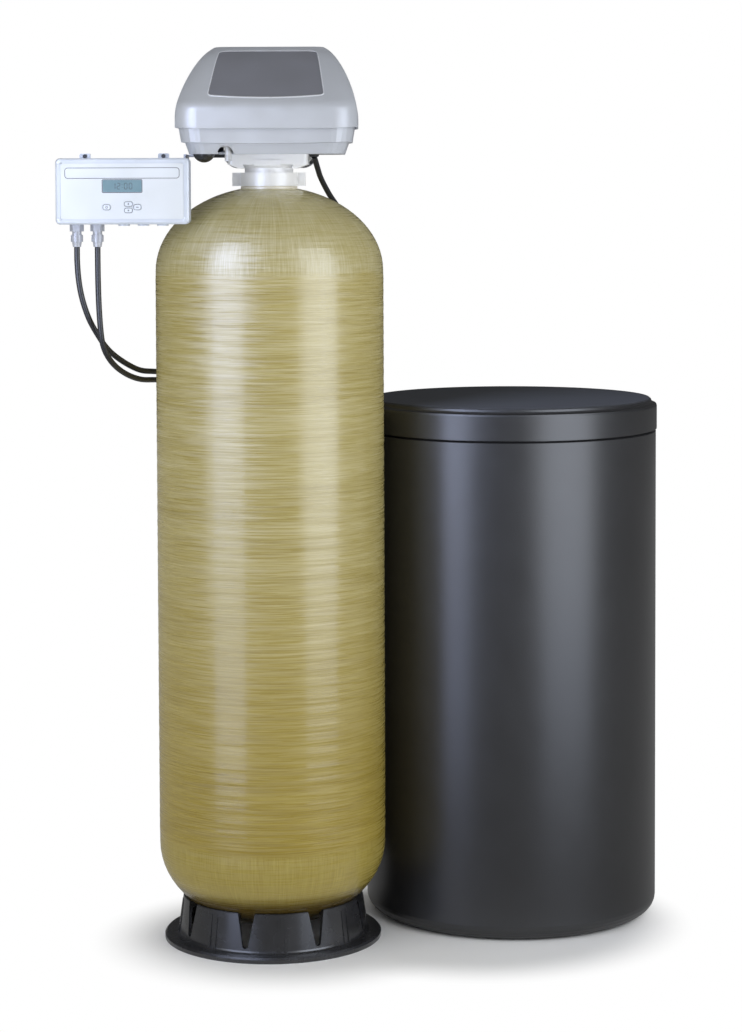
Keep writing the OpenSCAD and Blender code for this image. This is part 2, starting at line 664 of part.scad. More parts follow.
module flow_sensor() color([0.12, 0.12, 0.13]) difference() {
    translate([port_x - adaptor_r - 15, sensor_y, z_port - 9]) cube([20, 16, 20]);
    to_rear(port_x, deck_rear, z_port) cylinder(r = adaptor_r + run, h = 80);
}

module venturi_body() color([0.07, 0.07, 0.08]) {
    cx = -venturi_x;
    cy = -venturi_y;
    z0 = z_tray - venturi_drop;
    translate([cx, cy, 0]) rotate_extrude() intersection() {
        union() {
            translate([0, z0 + venturi_r]) circle(venturi_r);
            translate([0, z0 + venturi_r]) square([venturi_r, 24 - venturi_r + venturi_drop]);
        }
        translate([0, z0 - 1]) square([venturi_r + 1, 60]);
    }
    translate([cx, -venturi_link_y - 5, z_tray - 5.2]) cube([-deck_w / 2 + 8 - cx, 10, 5]);
    translate([cx - 5, cy, z_tray - 5.2]) cube([10, venturi_y - venturi_link_y + 5, 5]);
}

module venturi_cap() color([0.1, 0.1, 0.11]) translate([-venturi_x, -venturi_y, z_tray + 24]) {
    cylinder(r = venturi_r + 2, h = 8);
    translate([0, 0, 8]) cylinder(r1 = venturi_r, r2 = venturi_r - 4, h = 4);
    for (i = [0:7]) rotate([0, 0, 45 * i]) translate([venturi_r + 1, -2, 0]) cube([2.4, 4, 8]);
}

module drain_elbow() color([0.93, 0.93, 0.92]) to_rear(drain_x, deck_rear + 4, drain_z) difference() {
    union() {
        translate([0, 0, -14]) cylinder(r = 7, h = 16);
        cylinder(r = 11, h = 5);
        cylinder(r = 7.2, h = 40);
        for (i = [0:3]) translate([0, 0, 18 + 5.5 * i]) cylinder(r1 = 8.4, r2 = 7.2, h = 4.5);
    }
    translate([0, 0, -20]) cylinder(r = 4.8, h = 70);
}

// Cover tray, floor on the valve's deck
module tray_floor_cut() {
    circle(rotor_house_r + 1);
    translate([-port_x - spigot_r - 1.5, 10]) square([2 * (port_x + spigot_r) + 3, 60]);
    translate([-port_x - adaptor_r - 3, deck_rear + 1]) square([2 * (port_x + adaptor_r) + 6, 60]);
    translate([-venturi_x, -venturi_y]) circle(venturi_r + 0.5);
    translate([grommet_x, grommet_y]) circle(7);
    for (p = tray_screw_at) translate(p) circle(2.2);
    translate([-deck_w / 2 + 12, bar_y]) circle(4.5);
}

tray_front = hood_front - hood_w + tray_w;
tray_rear = hood_rear - hood_w + tray_w;
tray_corner = hood_corner - hood_w + tray_w;
low_w = tray_w - 4 - tray_step;

module housing_base() color([0.76, 0.77, 0.8]) difference() {
    loft([plan_ring(low_w - 6, tray_front - 17, tray_rear - 13, tray_corner - 8, z_tray, 0),
        plan_ring(low_w, tray_front - 10, tray_rear - 9, tray_corner - 5, z_step - 1, 2.5),
        plan_ring(low_w + tray_step, tray_front - 4, tray_rear - 3, tray_corner - 2, z_step, 2.5),
        plan_ring(tray_w, tray_front, tray_rear, tray_corner, z_rim, 0)]);
    loft([plan_ring(low_w - 7 - tray_wall, tray_front - 18 - tray_wall, tray_rear - 14 - tray_wall, tray_corner - 9,
            z_tray + tray_wall, 0),
        plan_ring(low_w - 1 - tray_wall, tray_front - 11 - tray_wall, tray_rear - 10 - tray_wall, tray_corner - 6,
            z_step + 3, 0),
        plan_ring(low_w + tray_step - tray_wall, tray_front - 4 - tray_wall, tray_rear - 3 - tray_wall,
            tray_corner - 4, z_step + 8, 0),
        plan_ring(tray_w - tray_wall, tray_front - tray_wall, tray_rear - tray_wall, tray_corner - 3, z_rim + 1, 0)]);
    translate([0, 0, z_tray - 1]) linear_extrude(tray_wall + 2) tray_floor_cut();
    translate([0, 0, z_tray - 1]) linear_extrude(rear_open_h + 1)
        translate([-port_x - adaptor_r - 3, deck_rear + 1]) square([2 * (port_x + adaptor_r) + 6, 100]);
    translate([-63, -tray_front + 40, z_tray]) rotate([90, 0, 0]) linear_extrude(60) {
        translate([0, arch_h - arch_w / 2 + 1]) circle(arch_w / 2 - 1);
        translate([-arch_w / 2 + 1, -1]) square([arch_w - 2, max(1.5, arch_h - arch_w / 2 + 2)]);
    }
}

module housing_screws() color([0.7, 0.7, 0.72]) for (p = tray_screw_at) translate([p[0], p[1], z_tray + tray_wall]) {
    cylinder(r = 4, h = 2.6);
    translate([0, 0, -tray_wall - 8]) cylinder(r = 1.7, h = tray_wall + 9);
}

// Hood
hood_mid = z_seam + 14;
hood_span = hood_h - 14;
ridge_y = 16 - hood_front;
ridge_z = z_seam + 44;

function hood_front_at(z, t, inset) =
    -soft_max(-(hood_front - inset), ridge_y + (z - ridge_z) / hood_slope + inset / sin(atan(hood_slope)), 7)
    - 38 * (1 - sqrt(1 - pow(t, 8)));
function hood_rear_at(t, inset) = hood_rear - 58 + 58 * sqrt(1 - pow(t, 4.5)) - inset;

function hood_ring(t, inset) =
    let (z = hood_mid + (hood_span - inset) * t,
        w = hood_top_w + (hood_w - hood_top_w) * sqrt(1 - t * t) - inset,
        f = hood_front_at(z, t, inset),
        b = hood_rear_at(t, inset))
    plan_ring(w, f, b, min(hood_corner - inset, 0.46 * (b + f)), z, seam_dip * 0.8 * (1 - t));

module hood_form(inset, drop) loft(concat(
    [plan_ring(hood_w - inset, hood_front - inset, hood_rear - inset, hood_corner - inset, z_seam - 3 - drop, seam_dip)],
    [for (a = [0:6:90]) hood_ring(sin(a), inset)]));

module panel_plan(grow) offset(r = 5 + grow) offset(delta = -5)
    polygon([[-panel_low_w, ridge_y + 9.5], [-panel_low_w / 2, ridge_y + 5.7], [0, ridge_y + 4.5],
        [panel_low_w / 2, ridge_y + 5.7], [panel_low_w, ridge_y + 9.5],
        [panel_top_w, ridge_y + 114], [-panel_top_w, ridge_y + 114]]);

module valve_hood() color([0.76, 0.77, 0.8]) {
    difference() {
        hood_form(0, 0);
        hood_form(hood_wall, 2);
        difference() {
            translate([0, 0, z_seam]) linear_extrude(hood_h + 20) panel_plan(0.5, $fn = 24);
            translate([0, 0, -panel_recess]) hood_form(0, 20);
        }
    }
    translate([0, 0, z_rim + 0.2]) linear_extrude(3) difference() {
        rim_ring(hood_w - hood_wall + 1, hood_front - hood_wall + 1, hood_rear - hood_wall + 1, hood_corner - 2);
        rim_ring(tray_w - tray_wall - 1, tray_front - tray_wall - 1, tray_rear - tray_wall - 1, tray_corner - 4);
    }
}

module rim_ring(w, f, b, r) translate([0, (b - f) / 2]) rounded2d(2 * w, f + b, r);

module hood_panel() color([0.42, 0.42, 0.45]) intersection() {
    translate([0, 0, z_seam]) linear_extrude(hood_h + 20) panel_plan(0, $fn = 24);
    difference() {
        translate([0, 0, -0.4]) hood_form(0, 20);
        translate([0, 0, -panel_recess]) hood_form(0, 20);
    }
}

module cable_grommet() color([0.1, 0.1, 0.1]) translate([grommet_x, grommet_y, z_tray]) {
    translate([0, 0, -4]) cylinder(r1 = 6.4, r2 = 8.4, h = 4);
    cylinder(r = 6.7, h = tray_wall);
    translate([0, 0, tray_wall]) cylinder(r = 8.4, h = 3);
}

// Controller
module controller_case() color([0.86, 0.88, 0.91]) difference() {
    union() {
        on_front() translate([0, 0, -ctl_d]) linear_extrude(ctl_d - bezel_d) rounded2d(ctl_w, ctl_h, ctl_corner);
        for (s = [-1, 1]) translate([-ctl_x + s * ear_x, -ctl_back, ctl_top]) rotate([90, 0, 0]) linear_extrude(4) {
            translate([-8.5, -1]) square([17, 5]);
            translate([-6, 3]) square([12, 4.5]);
            for (q = [-1, 1]) translate([q * 5.5, 4.5]) circle(3);
        }
        for (x = [0, 30, 60]) translate([-ctl_x + x, -gland_y, ctl_z - ctl_h / 2 - 2.5]) cylinder(r = 9, h = 4);
    }
    on_front() translate([0, 0, -ctl_d + ctl_wall]) linear_extrude(ctl_d)
        rounded2d(ctl_w - 2 * ctl_wall, ctl_h - 2 * ctl_wall, ctl_corner - 2);
    for (x = [-gland_left_x, -gland_right_x]) translate([-ctl_x + x, -gland_y, ctl_z - ctl_h / 2 - 1])
        cylinder(r = 6.6, h = ctl_wall + 2);
    for (s = [-1, 1]) translate([-ctl_x + s * ear_x, -ctl_back + 1, ctl_top + 3.2]) rotate([90, 0, 0])
        cylinder(r = 2.2, h = 6);
}

module controller_bezel() color([0.8, 0.83, 0.88]) on_front() difference() {
    hull() {
        translate([0, 0, -bezel_d]) linear_extrude(bezel_d - 4) rounded2d(ctl_w, ctl_h, ctl_corner, $fn = 32);
        translate([0, 0, -3]) linear_extrude(1.6) rounded2d(ctl_w - 1.2, ctl_h - 1.2, ctl_corner, $fn = 32);
        translate([0, 0, -1]) linear_extrude(1) rounded2d(ctl_w - 6, ctl_h - 6, ctl_corner - 2, $fn = 32);
    }
    translate([0, 0, -panel_t - 0.6]) linear_extrude(10) rounded2d(panel_w, panel_h, 3, $fn = 32);
    translate([0, 0, -bezel_d - 1]) linear_extrude(bezel_d + 2) rounded2d(panel_w - 8, panel_h - 8, 3, $fn = 32);
    translate([0, 0, -bezel_d - 1]) linear_extrude(bezel_d - panel_t - 2.6)
        rounded2d(ctl_w - 2 * ctl_wall, ctl_h - 2 * ctl_wall, ctl_corner - 2, $fn = 32);
}

// Buttons: place on the panel and size
select_at = [-24, -24.5, 12.5, 9.2];
up_at = [9.5, -19.6, 13.5, 8.2];
down_at = [9.5, -29.4, 13.5, 8.2];
mode_at = [23.4, -24.5, 12.5, 9.2];
display_at = [0, 8];

module front_panel() color([0.94, 0.95, 0.97]) on_front() difference() {
    translate([0, 0, -panel_t - 0.6]) linear_extrude(panel_t) rounded2d(panel_w - 0.4, panel_h - 0.4, 3);
    translate([0, 0, -10]) linear_extrude(20) {
        translate(display_at) rounded2d(display_w, display_h, 1.5);
        for (b = [select_at, up_at, down_at, mode_at]) translate([b[0], b[1]]) stadium2d(b[2] + 0.6, b[3] + 0.6);
    }
}

module display() color([0.62, 0.68, 0.74]) on_front() translate([display_at[0], display_at[1], -panel_t - 3.6]) {
    linear_extrude(panel_t + 2.6) rounded2d(display_w - 0.3, display_h - 0.3, 1.4);
    linear_extrude(3) rounded2d(display_w + 12, display_h + 10, 1.4);
    translate([0, 0, -6]) linear_extrude(7) square([display_w - 6, display_h - 4], center = true);
}

module button(b) on_front() translate([b[0], b[1], -panel_t - 3]) {
    linear_extrude(panel_t + 3.2) stadium2d(b[2], b[3]);
    translate([0, 0, -3]) linear_extrude(4) circle(2.6);
}

module button_select() color([0.8, 0.84, 0.9]) button(select_at);
module button_up() color([0.8, 0.84, 0.9]) button(up_at);
module button_down() color([0.8, 0.84, 0.9]) button(down_at);
module button_mode() color([0.8, 0.84, 0.9]) button(mode_at);

board_z = -panel_t - 0.6 - 3 - 6;

module circuit_board() color([0.1, 0.32, 0.2]) on_front() {
    translate([0, 0, board_z - 1.6]) linear_extrude(1.6) rounded2d(ctl_w - 26, ctl_h - 26, 3);
    for (b = [select_at, up_at, down_at, mode_at]) translate([b[0], b[1], board_z - 1])
        cylinder(r = 3, h = -panel_t - 6 - button_travel - 0.1 - board_z + 1);
    translate([-60, -4, board_z - 17]) cube([40, 28, 16]);
    for (x = [-1, 1], y = [-1, 1]) translate([x * (ctl_w / 2 - 18), y * (ctl_h / 2 - 18), -ctl_d + ctl_wall])
        cylinder(r = 3.5, h = ctl_d - ctl_wall + board_z - 1);
}

module gland(x) translate([-ctl_x + x, -gland_y, gland_end]) {
    cylinder(r1 = 6.4, r2 = 7.6, h = 9);
    translate([0, 0, 8]) cylinder(r = 8.6, h = 11);
    for (i = [0:11]) rotate([0, 0, 30 * i]) translate([7.6, -1, 8]) cube([1.8, 2, 10]);
    translate([0, 0, 18]) cylinder(r = 7.2, h = 6);
    translate([0, 0, 24]) cylinder(r = 11, h = gland_l - 24, $fn = 6);
    translate([0, 0, gland_l - 1]) cylinder(r = 6.4, h = ctl_wall + 1);
    translate([0, 0, gland_l + ctl_wall]) cylinder(r = 9, h = 4, $fn = 6);
}

module gland_left() color([0.6, 0.62, 0.65]) gland(-gland_left_x);

module gland_right() color([0.6, 0.62, 0.65]) gland(-gland_right_x);

drop_x = -ctl_x + ctl_w / 2 - 8;
arm_low = ctl_top - 66;

module controller_bracket() color([0.07, 0.07, 0.08]) difference() {
    union() {
        translate([drop_x - plate_back_t, bar_y - bar_w / 2, z_tray - bar_t])
            cube([-deck_w / 2 + 23 - drop_x + plate_back_t, bar_w, bar_t]);
        translate([drop_x - plate_back_t, -ctl_back, z_tray - bar_t - 40])
            cube([plate_back_t, ctl_back + bar_y + bar_w / 2, bar_t + 40]);
        translate([-ctl_x - ear_x - 20, -ctl_back, arm_low])
            cube([drop_x + ctl_x + ear_x + 20, plate_back_t, ctl_top - 6 - arm_low]);
        for (s = [-1, 1]) translate([-ctl_x + s * ear_x - 8, -ctl_back, ctl_top - 8]) cube([16, plate_back_t, 15]);
    }
    translate([-deck_w / 2 + 12, bar_y, z_tray - bar_t - 1]) cylinder(r = 2.2, h = bar_t + 2);
    for (s = [-1, 1]) translate([-ctl_x + s * ear_x, -ctl_back + 5, ctl_top + 3.2]) rotate([90, 0, 0])
        cylinder(r = 2.2, h = 8);
}

module bracket_screws() color([0.06, 0.06, 0.06]) {
    for (s = [-1, 1]) translate([-ctl_x + s * ear_x, -ctl_back, ctl_top + 3.2]) {
        translate([0, -4, 0]) rotate([90, 0, 0]) cylinder(r = 3.2, h = 2.2);
        translate([0, plate_back_t + 2, 0]) rotate([90, 0, 0]) cylinder(r = 2.1, h = plate_back_t + 7);
        translate([0, plate_back_t + 2.4, 0]) rotate([90, 0, 0]) cylinder(r = 3.6, h = 2.4);
    }
    translate([-deck_w / 2 + 12, bar_y, z_tray]) {
        cylinder(r = 4, h = 2.4);
        translate([0, 0, -deck_t + 4]) cylinder(r = 2, h = deck_t - 3);
    }
}

// Cables: routes from the controller's glands, around the rear of the tank, to the valve
grommet_end = z_tray - 4;
sensor_end = z_port - 9;
sensor_x = port_x - adaptor_r - 8;
left_x = -ctl_x - gland_left_x;
right_x = -ctl_x - gland_right_x;
valve_route = [[left_x, -gland_y, gland_end], [left_x, -gland_y, gland_end - 20], [-292, -112, 1060], [-287, -108, 1030],
    [-278, -100, 1000], [-267, -88, 976], [-255, -70, 954], [-242, -50, 938], [-224, -20, 922], [-208, 16, 911],
    [-192, 60, 906], [-175, 100, 903], [-142, 142, 903], [-95, 176, 908], [-40, 196, 922], [15, 200, 950],
    [62, 192, 990], [98, 178, 1035], [119, 160, 1080], [125, 136, 1122], [112, 112, 1162], [94, 72, 1192],
    [80, 26, 1222], [grommet_x, grommet_y, grommet_end - 14], [grommet_x, grommet_y, grommet_end]];
meter_route = [[right_x, -gland_y, gland_end], [right_x, -gland_y, gland_end - 20], [-262, -112, 1059],
    [-261, -112, 1020], [-259, -107, 980], [-256, -98, 956], [-249, -84, 937], [-238, -60, 920], [-223, -28, 906],
    [-207, 8, 897], [-191, 52, 893], [-174, 97, 890], [-140, 142, 888], [-92, 181, 890], [-40, 206, 899],
    [-6, 218, 925], [12, 223, 970], [21, 218, 1035], [25, 200, 1103], [26, 170, 1160], [25, 138, 1205],
    [sensor_x, sensor_y + 8, sensor_end - 14], [sensor_x, sensor_y + 8, sensor_end]];

function unit(v) = v / norm(v);
function sub_route(p) = let (n = len(p)) concat([for (i = [0:n - 2]) each
    (i == 0 || i == n - 2) ? [p[i]] : [p[i], (9 * (p[i] + p[i + 1]) - p[i - 1] - p[i + 2]) / 16]], [p[n - 1]]);
function tangents(p) = let (n = len(p)) [for (i = [0:n - 1])
    i == 0 ? unit(p[1] - p[0]) : i == n - 1 ? unit(p[n - 1] - p[n - 2]) : unit(p[i + 1] - p[i - 1])];
function carried(t, side, i = 0) = let (s = unit(side - (side * t[i]) * t[i]))
    i == len(t) - 1 ? [s] : concat([s], carried(t, s, i + 1));

module cable(route) {
    sides = 10;
    p = sub_route(route);
    t = tangents(p);
    s = carried(t, [1, 0, 0]);
    loft([for (i = [len(p) - 1:-1:0]) let (c = cross(t[i], s[i]))
        [for (j = [0:sides - 1]) p[i] + cable_d / 2 * (cos(36 * j) * s[i] - sin(36 * j) * c)]]);
}

module valve_cable() color([0.05, 0.05, 0.05]) cable(valve_route);

module meter_cable() color([0.05, 0.05, 0.05]) cable(meter_route);

// Brine tank
module at_brine() translate([brine_x, brine_y, 0]) children();
function arc_pts(cx, cz, r, a0, a1, n = 6) = [for (i = [0:n]) let (a = a0 + (a1 - a0) * i / n)
    [cx + r * cos(a), cz + r * sin(a)]];

overflow_z = brine_shoulder - 110;
line_z = brine_shoulder - 60;

module brine_tank() color([0.13, 0.13, 0.14]) at_brine() difference() {
    rotate_extrude() polygon(concat([[0, 0]], arc_pts(brine_r - brine_corner, brine_corner, brine_corner, -90, 0),
        [[brine_r, brine_shoulder - 3], [rim_r, brine_shoulder], [rim_r, brine_rim_z], [rim_r - brine_wall, brine_rim_z],
            [rim_r - brine_wall, brine_shoulder - 4], [brine_r - brine_wall, brine_shoulder - 8]],
        arc_pts(brine_r - brine_corner, brine_corner, brine_corner - brine_wall, 0, -90), [[0, brine_wall]]));
    to_rear(0, brine_r - 40, overflow_z) cylinder(r = 12.4, h = 60);
    rotate([0, 0, 45]) to_rear(0, brine_r - 40, line_z) cylinder(r = 5.2, h = 60);
}

module brine_lid() color([0.1, 0.1, 0.11]) at_brine() rotate_extrude() {
    top_r = rim_r - 3.5;
    z0 = brine_shoulder + 1.5;
    z1 = brine_rim_z + 0.2;
    polygon([[0, lid_top_z + 4], [top_r * 0.5, lid_top_z + 3], [top_r * 0.85, lid_top_z + 1], [top_r - 3, lid_top_z],
        [top_r, lid_top_z - 2.5], [top_r + 1.2, z1 + 6], [top_r + 3, z1 + 4], [lid_r - 4, z1 + 3.4],
        [lid_r - 1, z1 + 2], [lid_r, z1 - 1], [lid_r, z0], [lid_r - lid_wall, z0], [lid_r - lid_wall, z1],
        [rim_r - brine_wall - 2, z1], [rim_r - brine_wall - 3.5, lid_top_z - lid_wall - 1],
        [top_r * 0.5, lid_top_z - lid_wall + 2], [0, lid_top_z - lid_wall + 3]]);
}

module at_well() at_brine() translate([well_x, well_y, 0]) children();

module salt_grid() color([0.85, 0.85, 0.83]) difference() {
    at_brine() {
        translate([0, 0, grid_z]) cylinder(r = brine_r - brine_wall - 1, h = grid_t);
        for (i = [0:5]) rotate([0, 0, 60 * i + 45]) translate([110, 0, brine_wall]) cylinder(r = 12, h = grid_z - brine_wall);
    }
    at_well() translate([0, 0, grid_z - 1]) cylinder(r = well_r + 0.4, h = grid_t + 2);
    at_brine() for (i = [0:17], k = [0, 1]) rotate([0, 0, 20 * i + 8 * k]) translate([60 + 95 * k + (k ? 40 : 0), 0, grid_z - 1])
        cylinder(r = 7, h = grid_t + 2);
}

module brine_well() color([0.9, 0.9, 0.88]) at_well() difference() {
    translate([0, 0, well_z]) tube(well_r, well_r - 2.5, well_h);
    for (i = [0:7]) rotate([0, 0, 45 * i]) translate([well_r - 5, -2, well_z + 10]) cube([10, 4, 50]);
}

module well_cap() color([0.85, 0.85, 0.84]) at_well() translate([0, 0, well_z + well_h]) {
    translate([0, 0, 0.2]) cylinder(r = well_r + 4, h = 4);
    translate([0, 0, -12]) tube(well_r - 3, well_r - 6, 13);
}

pickup_top = well_z + well_h - 40;

module brine_pickup() color([0.88, 0.88, 0.87]) at_well() difference() {
    union() {
        translate([0, 0, 60]) cylinder(r = stem_pipe_r, h = pickup_top - 60);
        translate([0, 0, 14]) cylinder(r = 14, h = 48);
        translate([0, 0, 62]) cylinder(r = well_r - 2.8, h = 4);
        translate([0, 0, float_rest_z - 6]) cylinder(r = 11, h = 5.8);
        translate([0, 0, float_rest_z + float_h + 120]) cylinder(r = 11, h = 6);
        translate([0, 0, pickup_top - 30]) cylinder(r = well_r - 2.8, h = 4);
    }
    translate([0, 0, 40]) cylinder(r = stem_pipe_r - 2.5, h = pickup_top);
    translate([0, 0, 20]) cylinder(r = 10, h = 30);
    for (i = [0:3]) rotate([0, 0, 90 * i]) translate([6, -3, 30]) cube([12, 6, 16]);
    translate([0, 0, 13]) cylinder(r = 5, h = 10);
    for (i = [0:5], z = [61, pickup_top - 31]) rotate([0, 0, 60 * i]) translate([(well_r + 14) / 2, 0, z]) cylinder(r = 8, h = 6);
}

module check_ball() color([0.2, 0.2, 0.22]) at_well() translate([0, 0, 20 + sqrt(8 * 8 - 5 * 5) + 0.1]) sphere(r = 8);

module brine_float() color([0.9, 0.5, 0.15]) at_well() translate([0, 0, float_rest_z])
    tube(float_r, stem_pipe_r + 0.5, float_h);

module overflow_elbow() color([0.1, 0.1, 0.1]) at_brine() translate([0, brine_r, overflow_z]) difference() {
    union() {
        to_rear(0, -brine_wall - 6, 0) cylinder(r = 12, h = brine_wall + 26);
        to_rear(0, 0.4, 0) cylinder(r = 17, h = 5);
        to_rear(0, -brine_wall - 8, 0) cylinder(r = 17, h = 5);
        translate([0, 20, 0]) sphere(r = 12);
        translate([0, 20, -40]) cylinder(r = 9.5, h = 40);
        for (i = [0:2]) translate([0, 20, -38 + 7 * i]) cylinder(r1 = 9.6, r2 = 10.8, h = 5);
    }
    to_rear(0, -brine_wall - 9, 0) cylinder(r = 7, h = brine_wall + 29);
    translate([0, 20, -41]) cylinder(r = 7, h = 41);
}

tank_shell();
neck_insert();
tank_base();
riser_tube();
bottom_distributor();
top_distributor();
resin_bed();
gravel_bed();
clamp_front();
clamp_rear();
clamp_bolts();
neck_oring();
valve_body();
rotor_seal();
rotor_disc();
valve_cap();
cap_screws();
drive_gear();
motor_plate();
drive_motor();
motor_shaft();
motor_pinion();
position_switch();
inlet_adaptor();
outlet_adaptor();
port_clips();
turbine_wheel();
flow_sensor();
venturi_body();
venturi_cap();
drain_elbow();
housing_base();
housing_screws();
valve_hood();
hood_panel();
cable_grommet();
controller_case();
controller_bezel();
front_panel();
display();
button_select();
button_up();
button_down();
button_mode();
circuit_board();
gland_left();
gland_right();
controller_bracket();
bracket_screws();
valve_cable();
meter_cable();
brine_tank();
brine_lid();
salt_grid();
brine_well();
well_cap();
brine_pickup();
check_ball();
brine_float();
overflow_elbow();
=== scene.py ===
# %% [markdown]
# A water softener: a tall glass-wound resin tank with a control valve under a grey hood,
# a small controller box on a bracket, and a charcoal brine tank beside it.
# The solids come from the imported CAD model, so this lesson only loads them, dresses them in
# procedural finishes and adds the fine pieces that are too thin for the CAD source.

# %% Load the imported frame
import json
import math
import random

import bmesh
import bpy
from mathutils import Matrix, Vector


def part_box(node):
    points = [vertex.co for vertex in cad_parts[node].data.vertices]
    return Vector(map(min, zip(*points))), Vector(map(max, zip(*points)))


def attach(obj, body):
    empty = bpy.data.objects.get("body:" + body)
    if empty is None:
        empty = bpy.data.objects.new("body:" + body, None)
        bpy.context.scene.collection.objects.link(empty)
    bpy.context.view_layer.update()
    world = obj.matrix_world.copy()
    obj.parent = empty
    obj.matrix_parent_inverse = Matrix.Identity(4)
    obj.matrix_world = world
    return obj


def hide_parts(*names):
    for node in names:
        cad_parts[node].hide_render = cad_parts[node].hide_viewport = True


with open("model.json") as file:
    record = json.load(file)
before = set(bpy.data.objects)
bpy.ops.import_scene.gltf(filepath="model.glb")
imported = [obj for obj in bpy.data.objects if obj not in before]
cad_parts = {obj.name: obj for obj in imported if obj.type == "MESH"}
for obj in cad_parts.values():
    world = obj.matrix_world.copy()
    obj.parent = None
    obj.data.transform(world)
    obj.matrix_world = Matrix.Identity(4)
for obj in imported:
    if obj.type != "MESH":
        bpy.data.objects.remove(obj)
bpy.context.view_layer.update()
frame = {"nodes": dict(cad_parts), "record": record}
nodes = frame["nodes"]
MM = 0.001

# %% [markdown]
# The photograph was taken from the front at about the height of the valve, with a long lens.
# The camera looks down by three degrees, and a small lens shift brings the feet into the frame,
# so the upright tanks stay almost parallel, as a product photographer would set them.

# %% Camera
CAMERA_AT = Vector((0.1612, -4.2806, 1.2136))
CAMERA_PITCH = math.radians(3.1945)
CAMERA_ROLL = math.radians(-0.21)
camera_data = bpy.data.cameras.new("camera")
camera_data.lens = 93.76
camera_data.sensor_width = 36.0
camera_data.shift_y = -0.18
camera = bpy.data.objects.new("camera", camera_data)
camera.matrix_world = (
    Matrix.Translation(CAMERA_AT)
    @ Matrix.Rotation(math.pi / 2 - CAMERA_PITCH, 4, "X")
    @ Matrix.Rotation(CAMERA_ROLL, 4, "Z")
)
bpy.context.scene.collection.objects.link(camera)
bpy.context.scene.camera = camera
bpy.context.scene.view_settings.view_transform = "Standard"
print("camera at", tuple(CAMERA_AT), "lens", camera_data.lens)

# %% [markdown]
# Two black cables leave the glands under the controller, hang in a loose bow behind the tank
# and climb to the valve and to the flow sensor. Each is one open curve with a round bevel.
# The points are the same route that the CAD source sweeps, with a smooth curve drawn through them
# and one corner left out at the valve, so that the last bend is a gentle one.
# The bevel is one unit deep and each point's radius scales it to the cable's, because Blender grows
# a curve's bounding box by that radius, and a box that is too large would spoil the other views.

# %% Cable routes
CABLE_D = 9 * MM
VALVE_ROUTE = (
    (-294.5, -109.5, 1112), (-294.5, -109.5, 1092), (-292, -112, 1060), (-287, -108, 1030),
    (-278, -100, 1000), (-267, -88, 976), (-255, -70, 954), (-242, -50, 938), (-224, -20, 922),
    (-208, 16, 911), (-192, 60, 906), (-175, 100, 903), (-142, 142, 903), (-95, 176, 908),
    (-40, 196, 922), (15, 200, 950), (62, 192, 990), (98, 178, 1035), (119, 160, 1080),
    (125, 136, 1122), (112, 112, 1162), (94, 72, 1192), (80, 26, 1222), (72, -2, 1251),
)
METER_ROUTE = (
    (-262.5, -109.5, 1112), (-262.5, -109.5, 1092), (-262, -112, 1059), (-261, -112, 1020),
    (-259, -107, 980), (-256, -98, 956), (-249, -84, 937), (-238, -60, 920), (-223, -28, 906),
    (-207, 8, 897), (-191, 52, 893), (-174, 97, 890), (-140, 142, 888), (-92, 181, 890),
    (-40, 206, 899), (-6, 218, 925), (12, 223, 970), (21, 218, 1035), (25, 200, 1103),
    (26, 170, 1160), (25, 138, 1205), (22, 89, 1248),
)
STEPS_BETWEEN = 6


def smooth_route(points):
    """The route in metres, with a smooth curve through its points and straight ends."""
    knots = [Vector(p) * MM for p in points]
    line = [knots[0]]
    for i in range(1, len(knots) - 2):
        before, a, b, after = knots[i - 1:i + 3]
        for k in range(STEPS_BETWEEN):
            t = k / STEPS_BETWEEN
            line.append(0.5 * (
                2 * a + (b - before) * t + (2 * before - 5 * a + 4 * b - after) * t * t
                + (3 * a - before - 3 * b + after) * t ** 3
            ))
    return line + knots[-2:]


def hang_cable(name, points, node):
    """One cable as a bevelled curve that stands for its CAD solid."""
    line = smooth_route(points)
    curve = bpy.data.curves.new(name, "CURVE")
    curve.dimensions = "3D"
    curve.bevel_depth = 1.0
    curve.bevel_resolution = 5
    curve.use_fill_caps = True
    spline = curve.splines.new("POLY")
    spline.points.add(len(line) - 1)
    for point, place in zip(spline.points, line):
        point.co = (*place, 1.0)
        point.radius = CABLE_D / 2
    cable = bpy.data.objects.new(name, curve)
    bpy.context.scene.collection.objects.link(cable)
    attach(cable, "softener")
    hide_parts(node)
    return cable


valve_lead = hang_cable("valve_lead", VALVE_ROUTE, "valve_cable")
meter_lead = hang_cable("meter_lead", METER_ROUTE, "meter_cable")

# %% [markdown]
# Most of the softener is moulded plastic. Real mouldings are never one flat colour: the tone
# drifts a little, the gloss is uneven and the skin has a fine texture from the mould.
# One function mixes those three for every plastic, and each finish gives its own numbers.

# %% Moulded finishes
def paint(code):
    """A colour written as six hex digits, turned into the linear values that shaders use."""
    channels = [int(code[i:i + 2], 16) / 255 for i in (0, 2, 4)]
    return [c / 12.92 if c <= 0.04045 else ((c + 0.055) / 1.055) ** 2.4 for c in channels] + [1.0]


def new_finish(name):
    """A node material with its principled shader and its object coordinates."""
    material = bpy.data.materials.new(name)
    material.use_nodes = True
    tree = material.node_tree
    coords = tree.nodes.new("ShaderNodeTexCoord")
    return material, tree, tree.nodes["Principled BSDF"], coords.outputs["Object"]


